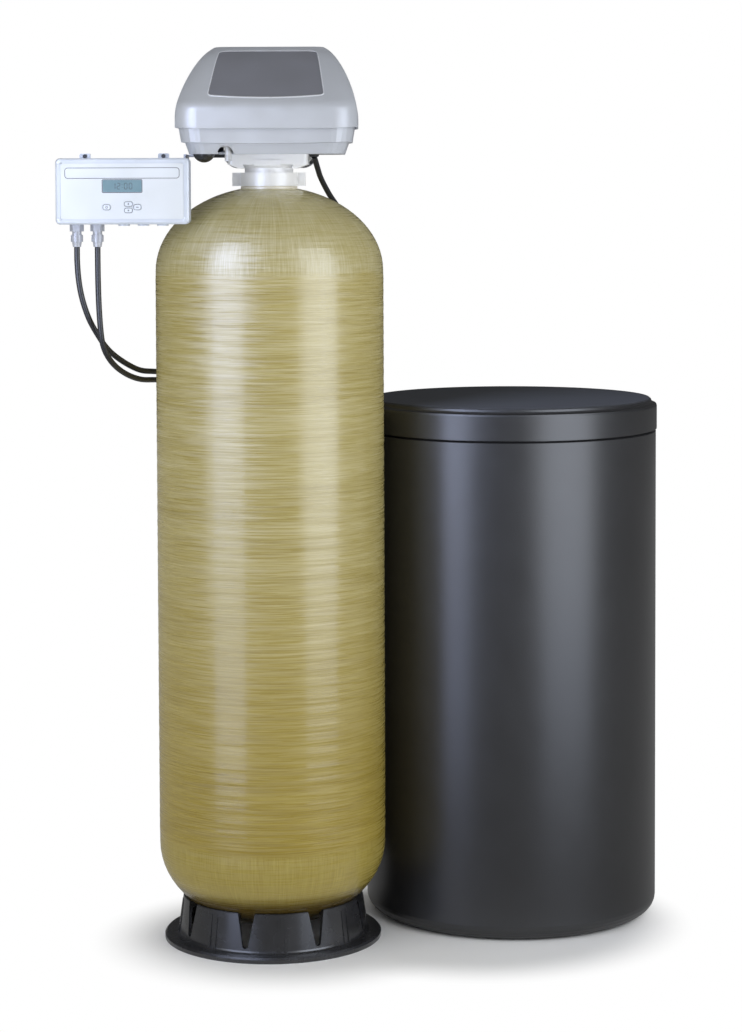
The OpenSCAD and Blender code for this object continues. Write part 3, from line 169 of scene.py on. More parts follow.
def noise(tree, where, scale, detail=2.0, stretch=(1, 1, 1)):
    """A noise pattern on the object's own coordinates, squeezed or stretched along the axes."""
    mapping = tree.nodes.new("ShaderNodeMapping")
    mapping.inputs["Scale"].default_value = stretch
    tree.links.new(where, mapping.inputs["Vector"])
    pattern = tree.nodes.new("ShaderNodeTexNoise")
    pattern.inputs["Scale"].default_value = scale
    pattern.inputs["Detail"].default_value = detail
    tree.links.new(mapping.outputs["Vector"], pattern.inputs["Vector"])
    return pattern.outputs["Fac"]


def ramp(tree, value, stops):
    """Colours along a pattern's value: stops are (position, hex colour)."""
    node = tree.nodes.new("ShaderNodeValToRGB")
    node.color_ramp.elements[0].position = stops[0][0]
    node.color_ramp.elements[0].color = paint(stops[0][1])
    node.color_ramp.elements[1].position = stops[-1][0]
    node.color_ramp.elements[1].color = paint(stops[-1][1])
    for position, code in stops[1:-1]:
        node.color_ramp.elements.new(position).color = paint(code)
    tree.links.new(value, node.inputs["Fac"])
    return node.outputs["Color"]


def rescale(tree, value, low, high, to_low=0.0, to_high=1.0, smooth=False):
    """A value brought from one range to another, held at the ends."""
    node = tree.nodes.new("ShaderNodeMapRange")
    node.interpolation_type = "SMOOTHSTEP" if smooth else "LINEAR"
    ends = {"From Min": low, "From Max": high, "To Min": to_low, "To Max": to_high}
    for socket, number in ends.items():
        node.inputs[socket].default_value = number
    tree.links.new(value, node.inputs["Value"])
    return node.outputs["Result"]


def plug(tree, value, socket):
    """A pattern is linked to the socket, and a plain number or colour is set on it."""
    if isinstance(value, bpy.types.NodeSocket):
        tree.links.new(value, socket)
    else:
        socket.default_value = value


def maths(tree, operation, *values):
    """A Math node on patterns or plain numbers."""
    node = tree.nodes.new("ShaderNodeMath")
    node.operation = operation
    for value, socket in zip(values, node.inputs):
        plug(tree, value, socket)
    return node.outputs["Value"]


def mix(tree, factor, a, b, kind="FLOAT", blend="MIX"):
    """a where the factor is 0, b where it is 1. kind is FLOAT for numbers and RGBA for colours."""
    node = tree.nodes.new("ShaderNodeMix")
    node.data_type = kind
    node.blend_type = blend
    for value, socket in ((factor, "Factor"), (a, "A"), (b, "B")):
        plug(tree, value, node.inputs[socket])
    return node.outputs["Result"]


def tint(tree, factor, colour, code):
    """A colour multiplied by a hex colour, as far as the factor says."""
    return mix(tree, factor, colour, paint(code), "RGBA", "MULTIPLY")


def height_of(tree, where):
    """Each point's height above the floor."""
    split = tree.nodes.new("ShaderNodeSeparateXYZ")
    tree.links.new(where, split.inputs["Vector"])
    return split.outputs["Z"]


def emboss(tree, shader, height, strength, depth):
    """A fine relief in the surface."""
    node = tree.nodes.new("ShaderNodeBump")
    node.inputs["Strength"].default_value = strength
    node.inputs["Distance"].default_value = depth
    tree.links.new(height, node.inputs["Height"])
    tree.links.new(node.outputs["Normal"], shader.inputs["Normal"])


SKIN_DEPTH = 0.2 * MM
MATT_EDGE, MATT_ROUGH, TOP_PAINTED_SHADE = 3 * MM, 0.85, "aaaaaa"


def moulded(
    name, dark, light, rough, drift=7.0, grain=900.0, relief=0.15, specular=0.5, metal=0.0,
    uneven=0.055, matt_above=None,
):
    """Moulded plastic or plain metal: a slow drift of tone, uneven gloss and a fine skin.
    Above the height matt_above the skin is coarse and matt, and its colour is darkened there as
    painted shade."""
    material, tree, shader, where = new_finish(name)
    tone = noise(tree, where, drift, 3.0)
    skin = noise(tree, where, grain)
    colour = ramp(tree, tone, ((0.3, dark), (0.7, light)))
    patches = noise(tree, where, drift * 4, 4.0)
    gloss = rescale(tree, patches, 0.3, 0.7, rough - uneven, rough + uneven)
    if matt_above:
        raised = rescale(tree, height_of(tree, where), matt_above - MATT_EDGE, matt_above)
        gloss = mix(tree, raised, gloss, MATT_ROUGH)
        # Painted shade: the top face above matt_above is darkened.
        colour = tint(tree, raised, colour, TOP_PAINTED_SHADE)
    tree.links.new(colour, shader.inputs["Base Color"])
    tree.links.new(gloss, shader.inputs["Roughness"])
    shader.inputs["Specular IOR Level"].default_value = specular
    shader.inputs["Metallic"].default_value = metal
    emboss(tree, shader, skin, relief, SKIN_DEPTH)
    return material


BRINE_SKIN = {"grain": 420.0, "relief": 0.4, "specular": 0.62, "uneven": 0.012}
LID_TOP_Z = 0.853
FINISHES = {
    "cream_plastic": moulded("cream_plastic", "e3dcc8", "efe9d8", 0.42),
    "black_plastic": moulded(
        "black_plastic", "222223", "2c2c2e", 0.26, grain=300.0, relief=0.1, specular=0.75,
    ),
    "white_plastic": moulded("white_plastic", "eeeff0", "f6f6f6", 0.4),
    "inner_plastic": moulded("inner_plastic", "cfcfc8", "deded8", 0.5),
    "seal_rubber": moulded("seal_rubber", "1c1c1d", "262627", 0.62, relief=0.3),
    "grey_plastic": moulded("grey_plastic", "b7bbc3", "c2c6ce", 0.36, grain=700.0, relief=0.2),
    "panel_grey": moulded("panel_grey", "76777e", "7f8088", 0.45, grain=1400.0, relief=0.2),
    "case_plastic": moulded("case_plastic", "c6cedb", "d2d9e6", 0.36),
    "panel_white": moulded("panel_white", "d8dee5", "e0e5eb", 0.33, grain=1500.0, relief=0.06),
    "button_grey": moulded("button_grey", "d5dce6", "dfe5ed", 0.4),
    "board": moulded("board", "123c22", "1b4d2c", 0.4, drift=40.0),
    "gland_grey": moulded("gland_grey", "a9adb8", "bbbec8", 0.3),
    "cable_black": moulded("cable_black", "1c1c1d", "252527", 0.34, relief=0.03),
    "brine_black": moulded("brine_black", "242425", "282829", 0.33, **BRINE_SKIN),
    "float_orange": moulded("float_orange", "c96a1e", "dd7f2e", 0.45),
    "steel": moulded("steel", "b5b6b9", "c9cacd", 0.3, drift=60.0, metal=1.0),
    "black_steel": moulded("black_steel", "1f1f20", "2a2a2b", 0.4, drift=30.0),
    "display_glass": moulded("display_glass", "6f919f", "7d9dab", 0.2, drift=30.0, relief=0.02),
    "resin_beads": moulded(
        "resin_beads", "8a5a22", "b57c36", 0.4, drift=400.0, grain=1100.0, relief=0.8,
    ),
    "gravel": moulded("gravel", "8a8173", "b3aa9a", 0.6, drift=160.0, grain=260.0, relief=1.0),
}
LEGEND_INK = moulded("legend_ink", "2a2d35", "363a43", 0.5)
BEAD_PAINTED_HIGHLIGHT = moulded("bead_painted_highlight", "d3d6dc", "dde0e6", 0.3)
LID_BLACK = moulded("lid_black", "242425", "282829", 0.33, matt_above=LID_TOP_Z, **BRINE_SKIN)
print("moulded finishes:", len(FINISHES))

# %% [markdown]
# The pressure tank is glass roving wound in clear resin. On its straight part the strands run
# round like thread on a reel, and on the two domes they run over the ends and look combed
# upright. The finish mixes two stretched noises by height, with a ragged edge where they meet.
# Towards the floor the colour is painted a darker, deeper yellow as painted shade, and just above the
# foot a painted shadow darkens it further.

# %% Wound glass finish
HOOP_LOW, HOOP_HIGH = 0.168, 1.068
RAGGED, FADE_FROM, FADE_TO, FADE_TOP = 0.02, 0.002, 0.018, 0.004
STRANDS, TOWS, BANDS = (14, 14, 900), (12, 12, 380), (3, 3, 47)
COMB_RISE, COMB_SCALE = 0.25, 110.0
HOOP_STOPS = ((0.32, "8f8042"), (0.47, "aa9c5e"), (0.55, "b5a970"), (0.7, "cac096"))
DOME_STOPS = ((0.25, "a6995f"), (0.5, "b3a978"), (0.75, "c2ba90"))
# Painted shade: a darker, deeper yellow towards the floor.
LOW_SHADE_TINT, LOW_SHADE_FROM, LOW_SHADE_TO = "eee29a", 0.8, 0.1
# Painted shadow: darker just above the tank's foot.
FOOT_SHADE_TINT, FOOT_SHADE_FROM, FOOT_SHADE_TO = "857a62", 0.108, 0.074
RESIN_COAT, RESIN_COAT_ROUGH = 0.4, 0.14


def combed_pattern(tree, where):
    """Strands that run over a dome: a noise on the direction away from the axis, nearly the same
    at every height."""
    flat = tree.nodes.new("ShaderNodeVectorMath")
    flat.operation = "MULTIPLY"
    flat.inputs[1].default_value = (1, 1, 0)
    tree.links.new(where, flat.inputs[0])
    outward = tree.nodes.new("ShaderNodeVectorMath")
    outward.operation = "NORMALIZE"
    tree.links.new(flat.outputs["Vector"], outward.inputs[0])
    rise = tree.nodes.new("ShaderNodeVectorMath")
    rise.operation = "MULTIPLY_ADD"
    rise.inputs[1].default_value = (0, 0, COMB_RISE)
    tree.links.new(where, rise.inputs[0])
    tree.links.new(outward.outputs["Vector"], rise.inputs[2])
    return noise(tree, rise.outputs["Vector"], COMB_SCALE, 4.0)


def wound_glass():
    """Hoop strands on the straight part of the tank, combed strands on its domes."""
    material, tree, shader, where = new_finish("wound_glass")
    height = height_of(tree, where)
    edge = maths(tree, "MULTIPLY_ADD", noise(tree, where, 30.0, 3.0), RAGGED, height)
    above = rescale(tree, edge, HOOP_LOW + FADE_FROM, HOOP_LOW + FADE_TO, smooth=True)
    below = rescale(tree, edge, HOOP_HIGH + FADE_TO, HOOP_HIGH + FADE_TOP, smooth=True)
    hoops = maths(tree, "MULTIPLY", above, below)
    strands = noise(tree, where, 1.0, 4.0, STRANDS)
    tows = noise(tree, where, 1.0, 2.0, TOWS)
    bands = noise(tree, where, 1.0, 2.0, BANDS)
    combed = combed_pattern(tree, where)
    woven = maths(tree, "MULTIPLY_ADD", strands, 0.5, rescale(tree, bands, 0.0, 1.0, 0.17, 0.33))
    colour = mix(tree, hoops, ramp(tree, combed, DOME_STOPS), ramp(tree, woven, HOOP_STOPS), "RGBA")
    # Painted shade: the colour turns darker and yellower towards the floor.
    colour = tint(tree, rescale(tree, height, LOW_SHADE_FROM, LOW_SHADE_TO, smooth=True), colour, LOW_SHADE_TINT)
    # Painted shadow: darker again just above the foot.
    colour = tint(tree, rescale(tree, height, FOOT_SHADE_FROM, FOOT_SHADE_TO, smooth=True), colour, FOOT_SHADE_TINT)
    tree.links.new(colour, shader.inputs["Base Color"])
    tree.links.new(rescale(tree, tows, 0.4, 0.6, 0.2, 0.48), shader.inputs["Roughness"])
    shader.inputs["Specular IOR Level"].default_value = 0.5
    shader.inputs["Coat Weight"].default_value = RESIN_COAT
    shader.inputs["Coat Roughness"].default_value = RESIN_COAT_ROUGH
    ridges = maths(tree, "MULTIPLY_ADD", strands, 0.3, tows)
    emboss(tree, shader, mix(tree, hoops, combed, ridges), 0.28, 0.6 * MM)
    return material


FINISHES["wound_glass"] = wound_glass()
print("wound glass runs round from", HOOP_LOW, "to", HOOP_HIGH, "m")

# %% [markdown]
# The imported record says which finish each CAD node takes, so one loop dresses all of them.
# The lid has a matt top of its own, darkened as painted shade, and the bolt ends on the clamp are as
# white as its lugs.
# The two cables are curves and are dressed by hand.

# %% Dress the CAD nodes
for part in frame["record"]["subparts"]:
    mesh = nodes[part["node"]].data
    mesh.materials.clear()
    mesh.materials.append(FINISHES[part["material_slot"]])
nodes["brine_lid"].data.materials[0] = LID_BLACK
nodes["clamp_bolts"].data.materials[0] = FINISHES["white_plastic"]
for lead in (valve_lead, meter_lead):
    lead.data.materials.append(FINISHES["cable_black"])

# %% [markdown]
# New pieces are made in a bmesh and handed to one function, which closes doubled points,
# links the object at the origin and makes it ride on its CAD body.

# %% Piece helpers
def add_piece(name, bm, body, slot, finish=None, sharp=None, merge=1e-6, turn_out=True):
    """A finished mesh piece that rides on a body. sharp is the angle that keeps a crisp edge."""
    bmesh.ops.remove_doubles(bm, verts=bm.verts, dist=merge)
    if turn_out:
        bmesh.ops.recalc_face_normals(bm, faces=bm.faces)
    mesh = bpy.data.meshes.new(name)
    bm.to_mesh(mesh)
    bm.free()
    mesh.materials.append(finish or FINISHES[slot])
    mesh.shade_smooth()
    if sharp is not None:
        mesh.set_sharp_from_angle(angle=math.radians(sharp))
    piece = bpy.data.objects.new(name, mesh)
    bpy.context.scene.collection.objects.link(piece)
    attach(piece, body)
    print(name, len(mesh.polygons), "faces")
    return piece


def points_of(geom):
    """The vertices among what an operator returns."""
    return [g for g in geom if isinstance(g, bmesh.types.BMVert)]


def edges_of(geom):
    """The edges among what an operator returns."""
    return [g for g in geom if isinstance(g, bmesh.types.BMEdge)]


FLAT_AREA = 60 * MM ** 2


def smooth_copy(name, node, body, slot, sharp):
    """The CAD node's own shape, merged so that its curved facets can be shaded smoothly.
    Faces that are larger than FLAT_AREA belong to a flat wall and stay flat."""
    bm = bmesh.new()
    bm.from_mesh(nodes[node].data)
    piece = add_piece(name, bm, body, slot, sharp=sharp, merge=5e-6, turn_out=False)
    for face in piece.data.polygons:
        if face.area > FLAT_AREA:
            face.use_smooth = False
    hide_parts(node)
    return piece


# %% [markdown]
# The tray and the controller's bezel keep the shape that the CAD gave them, but their curved
# walls are shaded smoothly: a copy of the mesh is merged, its crisp edges are kept, and the
# weighted normals keep the flat walls even.

# %% Smooth tray and bezel
tray_skin = smooth_copy("tray_skin", "housing_base", "softener", "grey_plastic", 32)
bezel_skin = smooth_copy("bezel_skin", "controller_bezel", "softener", "case_plastic", 32)
for piece in (tray_skin, bezel_skin):
    even = piece.modifiers.new("even_shading", "WEIGHTED_NORMAL")
    even.keep_sharp = True

# %% [markdown]
# The hood is a soft wedge with a flat sloping face. It is lofted from rounded rings: each ring
# starts as a circle whose four quarters are pushed apart into a rounded rectangle, and the
# rings are joined with bridge_loops. A Solidify modifier gives the wall, and a small bevel
# rounds the lower lip that the photograph shows as a bright line over the seam.

# %% Hood loft
HOOD_W, HOOD_TOP_W, HOOD_FRONT, HOOD_REAR = 142.0, 85.0, 140.0, 120.0
HOOD_CORNER, HOOD_SEAM, HOOD_MID, HOOD_SPAN = 40.0, 1296.0, 1310.0, 117.0
RIDGE_Y, RIDGE_Z, HOOD_SLOPE, SEAM_DIP = -124.0, 1340.0, 0.745, 5.0
FACE_EASE, TOP_DRAW, REAR_DRAW, LIP_DROP = 7.0, 38.0, 58.0, 5.0
SIDE_RISE, SIDE_ROUND, REAR_ROUND, TOP_ROUND = 1.5, 0.65, 4.5, 8
CORNER_SHARE, DIP_SHARE = 0.46, 0.8
RING_POINTS = 64
RING_STEP = 3


def rounded_ring(bm, half_w, front, rear, corner, z, dip):
    """A rounded rectangle of edges at height z, in millimetres, with its sides lifted by dip."""
    made = bmesh.ops.create_circle(
        bm, radius=corner * MM, segments=RING_POINTS,
        matrix=Matrix.Rotation(math.pi / RING_POINTS, 4, "Z"),
    )
    middle_y = (rear - front) / 2
    for v in made["verts"]:
        x = v.co.x / MM + math.copysign(half_w - corner, v.co.x)
        y = v.co.y / MM + math.copysign((rear + front) / 2 - corner, v.co.y) + middle_y
        v.co = Vector((x, y, z + dip * (x / half_w) ** 2)) * MM
    return list({e for v in made["verts"] for e in v.link_edges})


def hood_front_at(z, t):
    """How far the hood reaches forward at height z: the upright lip eases into the sloping face."""
    slope = RIDGE_Y + (z - RIDGE_Z) / HOOD_SLOPE
    eased = (slope - HOOD_FRONT + math.hypot(slope + HOOD_FRONT, FACE_EASE)) / 2
    return -eased - TOP_DRAW * (1 - math.sqrt(1 - t ** TOP_ROUND))


bm = bmesh.new()
below = rounded_ring(bm, HOOD_W, HOOD_FRONT, HOOD_REAR, HOOD_CORNER, HOOD_SEAM - LIP_DROP, SEAM_DIP)
for angle in range(0, 91, RING_STEP):
    t = math.sin(math.radians(angle))
    z = HOOD_MID + HOOD_SPAN * t
    front = hood_front_at(z, t)
    rear = HOOD_REAR - REAR_DRAW + REAR_DRAW * math.sqrt(1 - t ** REAR_ROUND)
    half_w = HOOD_TOP_W + (HOOD_W - HOOD_TOP_W) * max(0.0, 1 - t ** SIDE_RISE) ** SIDE_ROUND
    corner = min(HOOD_CORNER, CORNER_SHARE * (front + rear))
    ring = rounded_ring(bm, half_w, front, rear, corner, z, SEAM_DIP * DIP_SHARE * (1 - t))
    bmesh.ops.bridge_loops(bm, edges=below + ring)
    below = ring
bmesh.ops.contextual_create(bm, geom=below)
hood_skin = add_piece("hood_skin", bm, "hood", "grey_plastic", sharp=50)
wall = hood_skin.modifiers.new("wall", "SOLIDIFY")
wall.thickness = 3 * MM
wall.offset = -1
lip = hood_skin.modifiers.new("lip", "BEVEL")
lip.width = 0.8 * MM
lip.segments = 2
lip.limit_method = "ANGLE"
lip.angle_limit = math.radians(60)
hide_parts("valve_hood")

# %% [markdown]
# A plain grey film lies on the sloping face, with a thin bead round it. The film is a
# flat outline that is dropped on the hood: each point is sent down along Z until it meets the
# hood, so the film follows the curve exactly. The bead is the film's border, raised a little, and its
# pale colour is a painted highlight along the panel's edge.

# %% Panel film and bead
from mathutils.bvhtree import BVHTree

PANEL_LOW_W, PANEL_TOP_W = 90.0, 77.0
PANEL_LOW_Y, PANEL_TOP_Y, PANEL_SAG = -118.0, -8.0, 5.5
PANEL_CORNER, BEAD_W = 8.0, 1.6
hood_bm = bmesh.new()
hood_bm.from_mesh(hood_skin.data)
hood_tree = BVHTree.FromBMesh(hood_bm)
hood_bm.free()


def panel_outline(bm, grow):
    """The panel's flat outline, grown all round: a trapezoid with rounded corners and a sagging
    lower edge."""
    grid = bmesh.ops.create_grid(bm, x_segments=28, y_segments=18, size=1.0)
    for v in grid["verts"]:
        up = (v.co.y + 1) / 2
        half = PANEL_LOW_W + (PANEL_TOP_W - PANEL_LOW_W) * up + grow
        low = PANEL_LOW_Y - PANEL_SAG * (1 - v.co.x ** 2) - grow
        v.co = Vector((v.co.x * half, low + (PANEL_TOP_Y + grow - low) * up, 0)) * MM
    corners = [v for v in bm.verts if len(v.link_edges) == 2]
    bmesh.ops.bevel(
        bm, geom=corners, affect="VERTICES", offset=PANEL_CORNER * MM, segments=6, profile=0.5,
        material=-1,
    )


def drop_on_hood(bm, lift):
    """Every point goes down to the hood's face, and stays lift above it."""
    for v in bm.verts:
        hit = hood_tree.ray_cast(Vector((v.co.x, v.co.y, 2.0)), Vector((0, 0, -1)))
        v.co.z = hit[0].z + lift * MM


def sink(bm, depth):
    """A sheet gets its thickness: a copy of its faces goes down, and the sides close."""
    grown = bmesh.ops.extrude_face_region(bm, geom=bm.faces[:], use_keep_orig=True)
    bmesh.ops.translate(bm, vec=(0, 0, -depth * MM), verts=points_of(grown["geom"]))


bm = bmesh.new()
panel_outline(bm, 0.0)
drop_on_hood(bm, 0.5)
sink(bm, 1.0)
panel_film = add_piece("panel_film", bm, "hood", "panel_grey", sharp=40)
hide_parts("hood_panel")

bm = bmesh.new()
panel_outline(bm, BEAD_W * 0.7)
inner = bm.faces[:]
bmesh.ops.inset_region(
    bm, faces=inner, thickness=BEAD_W * MM, use_boundary=True, use_even_offset=True,
)
bmesh.ops.delete(bm, geom=inner, context="FACES")
drop_on_hood(bm, 1.0)
sink(bm, 1.6)
# The bead's pale colour is a painted highlight along the panel's edge.
add_piece("panel_bead", bm, "hood", "grey_plastic", BEAD_PAINTED_HIGHLIGHT, sharp=40)

# %% [markdown]
# A white elbow leaves the venturi body and points down through the notch in the tray, where the
# brine tube would be pushed on. It is one ring of edges that is extruded up, spun through a right
# angle and extruded again into the venturi body. The open end gets a bore by inset and extrude.

# %% Brine elbow
ELBOW_AT = Vector((-59.5, -98.0, 1244.0)) * MM
ELBOW_R, ELBOW_WALL, ELBOW_RISE = 7.6 * MM, 2.2 * MM, 18 * MM
ELBOW_BEND, ELBOW_REACH, ELBOW_BORE = 9 * MM, 13 * MM, 10 * MM


def extend(bm, edges, vec):
    """An open ring of edges is extruded and moved. The far ring's edges come back."""
    made = bmesh.ops.extrude_edge_only(bm, edges=edges)["geom"]
    bmesh.ops.translate(bm, vec=vec, verts=points_of(made))
    return edges_of(made)


bm = bmesh.new()
bmesh.ops.create_circle(
    bm, cap_ends=True, radius=ELBOW_R, segments=32, matrix=Matrix.Translation(ELBOW_AT),
)
mouth = bm.faces[:]
rim = bm.edges[:]
bmesh.ops.inset_region(
    bm, faces=mouth, thickness=ELBOW_WALL, use_boundary=True, use_even_offset=True,
)
bore = bmesh.ops.extrude_face_region(bm, geom=mouth)["geom"]
bmesh.ops.delete(bm, geom=mouth, context="FACES_ONLY")
bmesh.ops.translate(bm, vec=(0, 0, ELBOW_BORE), verts=points_of(bore))
top = extend(bm, rim, (0, 0, ELBOW_RISE))
pivot = ELBOW_AT + Vector((-ELBOW_BEND, 0, ELBOW_RISE))
turned = bmesh.ops.spin(
    bm, geom=top + list({v for e in top for v in e.verts}), cent=pivot, axis=(0, -1, 0),
    angle=math.pi / 2, steps=10,
)["geom_last"]
end = extend(bm, edges_of(turned), (-ELBOW_REACH, 0, 0))
bmesh.ops.contextual_create(bm, geom=end)
add_piece("brine_elbow", bm, "softener", "white_plastic", sharp=40)

# %% [markdown]
# The roving leaves real ridges: bands about two centimetres wide, each made of strands a
# couple of millimetres wide. A profile with those ridges is spun about the tank's axis, so the
# highlights break up into fine lines as on the real tank.

# %% Hoop winding
STRAND, BAND = 2.2 * MM, 21.5 * MM
PROUD, BAND_PROUD, STRAND_PROUD = 0.35, 0.16, 0.11
ROOT, RUN_OUT, EDGE_ROWS = 0.1 * MM, 1 * MM, 6
tank_low, tank_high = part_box("tank_shell")
tank_r = (tank_high.x - tank_low.x) / 2
strand_draw = random.Random(11)
bm = bmesh.new()
profile = [bm.verts.new((tank_r - ROOT, 0, HOOP_LOW - RUN_OUT))]
rows = int((HOOP_HIGH - HOOP_LOW) / STRAND)
for k in range(rows + 1):
    z = HOOP_LOW + (HOOP_HIGH - HOOP_LOW) * k / rows
    band_wave = math.sin(2 * math.pi * z / BAND) ** 3
    proud = PROUD + BAND_PROUD * band_wave + strand_draw.uniform(-STRAND_PROUD, STRAND_PROUD)
    edge = min(1.0, 0.05 + min(k, rows - k) / EDGE_ROWS)
    profile.append(bm.verts.new((tank_r + proud * edge * MM, 0, z)))
profile.append(bm.verts.new((tank_r - ROOT, 0, HOOP_HIGH + RUN_OUT)))
edges = [bm.edges.new(pair) for pair in zip(profile, profile[1:])]
bmesh.ops.spin(
    bm, geom=profile + edges, cent=(0, 0, 0), axis=(0, 0, 1), angle=2 * math.pi, steps=112,
    use_merge=True,
)
add_piece("hoop_winding", bm, "softener", "wound_glass")

# %% [markdown]
# The controller's front carries printed lines: a rounded frame for a label that is left bare,
# a border round the display and a line round each key. Each line is a very thin raised plate,
# cut from a circle whose quarters are pushed apart, inset, and extruded towards the viewer.

# %% Printed lines on the controller
PANEL_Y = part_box("front_panel")[0].y
GLASS_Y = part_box("display")[0].y
CONTROLLER_X, CONTROLLER_Z = -221 * MM, 1198 * MM
INK_THICK = 0.15 * MM
LABEL_Z, LABEL_W, LABEL_H = CONTROLLER_Z + 28 * MM, 177 * MM, 17 * MM
SCREEN_Z, SCREEN_W, SCREEN_H = CONTROLLER_Z + 8 * MM, 62.4 * MM, 20.9 * MM
FRONT_TURN = Matrix.Rotation(math.pi / 2, 4, "X")


def stand_up(bm, verts, x, y, z, thick):
    """Flat faces in the XY plane are turned to the front, set at a place and given a thickness."""
    faces = list({f for v in verts for f in v.link_faces})
    bmesh.ops.transform(bm, matrix=Matrix.Translation((x, y, z)) @ FRONT_TURN, verts=verts)
    grown = bmesh.ops.extrude_face_region(bm, geom=faces, use_keep_orig=True)
    bmesh.ops.translate(bm, vec=(0, -thick, 0), verts=points_of(grown["geom"]))


def rounded_plate(bm, x, y, z, width, height, corner, border=0.0, thick=INK_THICK):
    """A thin rounded plate on a front face. With a border, only that much of its edge is kept."""
    made = bmesh.ops.create_circle(
        bm, cap_ends=True, radius=corner, segments=24, matrix=Matrix.Rotation(math.pi / 24, 4, "Z"),
    )
    for v in made["verts"]:
        v.co.x += math.copysign(width / 2 - corner, v.co.x)
        v.co.y += math.copysign(height / 2 - corner, v.co.y)
    verts = made["verts"]
    if border:
        middle = list({f for v in verts for f in v.link_faces})
        bmesh.ops.inset_region(
            bm, faces=middle, thickness=border, use_boundary=True, use_even_offset=True,
        )
        inner = [v for f in middle for v in f.verts]
        bmesh.ops.delete(bm, geom=middle, context="FACES_ONLY")
        verts = list(set(verts) | set(inner))
    stand_up(bm, verts, x, y, z, thick)


bm = bmesh.new()
rounded_plate(bm, CONTROLLER_X, PANEL_Y, LABEL_Z, LABEL_W, LABEL_H, 5 * MM, 0.9 * MM)
rounded_plate(bm, CONTROLLER_X, PANEL_Y, SCREEN_Z, SCREEN_W, SCREEN_H, 2 * MM, 1.0 * MM)
add_piece("panel_lines", bm, "softener", "black_plastic", LEGEND_INK, sharp=40)

# %% [markdown]
# The display shows plain figures in the usual seven bars. A table says which bars each figure
# lights, and every bar is one small rounded plate on the glass.

# %% Display figures
BARS = {
    "a": (0, 1, 1), "b": (1, 0.5, 0), "c": (1, -0.5, 0), "d": (0, -1, 1),
    "e": (-1, -0.5, 0), "f": (-1, 0.5, 0), "g": (0, 0, 1),
}
FIGURES = {"0": "abcdef", "1": "bc", "2": "abged"}
FIGURE_W, FIGURE_H, BAR_W = 4.4 * MM, 9.0 * MM, 0.9 * MM
BAR_CORNER, BAR_THICK = BAR_W * 0.45, 0.1 * MM
bm = bmesh.new()
for place, figure in ((-13, "1"), (-5.5, "2"), (5.5, "0"), (13, "0")):
    for bar in FIGURES[figure]:
        across, up, flat = BARS[bar]
        x = CONTROLLER_X + place * MM + across * FIGURE_W / 2
        z = SCREEN_Z + up * FIGURE_H / 2
        size = (FIGURE_W * 0.8, BAR_W) if flat else (BAR_W, FIGURE_H * 0.42)
        rounded_plate(bm, x, GLASS_Y, z, *size, BAR_CORNER, thick=BAR_THICK)
for up in (-2, 2):
    z = SCREEN_Z + up * MM
    rounded_plate(bm, CONTROLLER_X, GLASS_Y, z, BAR_W, BAR_W, BAR_CORNER, thick=BAR_THICK)
add_piece("display_figures", bm, "softener", "display_glass", LEGEND_INK, sharp=40)

# %% [markdown]
# Each key has its own border line and a small sign: arrows on the up and down keys, a ring on
# the select key and a bar on the mode key. They ride on the keys, so they move in when pressed.

# %% Key signs
KEY_SIGNS = {"up": 90, "down": -90}
KEY_EDGE, KEY_LINE = 0.8 * MM, 0.6 * MM
for key in ("select", "up", "down", "mode"):
    low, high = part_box("button_" + key)
    centre = (low + high) / 2
    bm = bmesh.new()
    width, height = high.x - low.x - KEY_EDGE, high.z - low.z - KEY_EDGE
    rounded_plate(bm, centre.x, low.y, centre.z, width, height, 3 * MM, KEY_LINE)
    if key in KEY_SIGNS:
        arrow = bmesh.ops.create_circle(
            bm, cap_ends=True, radius=1.7 * MM, segments=3,
            matrix=Matrix.Rotation(math.radians(KEY_SIGNS[key]), 4, "Z"),
        )
        stand_up(bm, arrow["verts"], centre.x, low.y, centre.z, INK_THICK)
    elif key == "select":
        rounded_plate(bm, centre.x, low.y, centre.z, 3.6 * MM, 3.6 * MM, 1.75 * MM, KEY_LINE)
    else:
        rounded_plate(bm, centre.x, low.y, centre.z, 4.2 * MM, 1.0 * MM, 0.45 * MM)
    add_piece("key_sign_" + key, bm, "key_" + key, "black_plastic", LEGEND_INK, sharp=40)

# %% [markdown]
# The studio has two tall soft boxes in front of the tanks, left and right, just outside the
# picture. Beside each stand gleams: lamps in the same place that only glossy surfaces see, stacked
# so that the long upright highlights grow stronger towards the top. The world gives an even fill
# and shows pure white to the camera. In reflections it is a dim grey, because the black tank in
# the photograph has no pale rim.

# %% Lights and world
def soft_box(name, inner, outer, low, high, power, hue):
    """A tall area light whose two upright edges stand at the given plan points. It faces the tanks."""
    a, b = Vector((*inner, 0)), Vector((*outer, 0))
    light = bpy.data.lights.new(name, "AREA")
    light.shape = "RECTANGLE"
    light.size = (b - a).length
    light.size_y = high - low
    light.energy = power
    light.color = hue
    lamp = bpy.data.objects.new(name, light)
    middle = (a + b) / 2 + Vector((0, 0, (low + high) / 2))
    along = (b - a).normalized()
    up = Vector((0, 0, 1))
    facing = along.cross(up)
    if facing.dot(-middle) < 0:
        facing = -facing
    side = up.cross(-facing)
    turn = Matrix((side, up, -facing)).transposed().to_4x4()
    lamp.matrix_world = Matrix.Translation(middle) @ turn
    lamp.visible_camera = False
    bpy.context.scene.collection.objects.link(lamp)
    return lamp


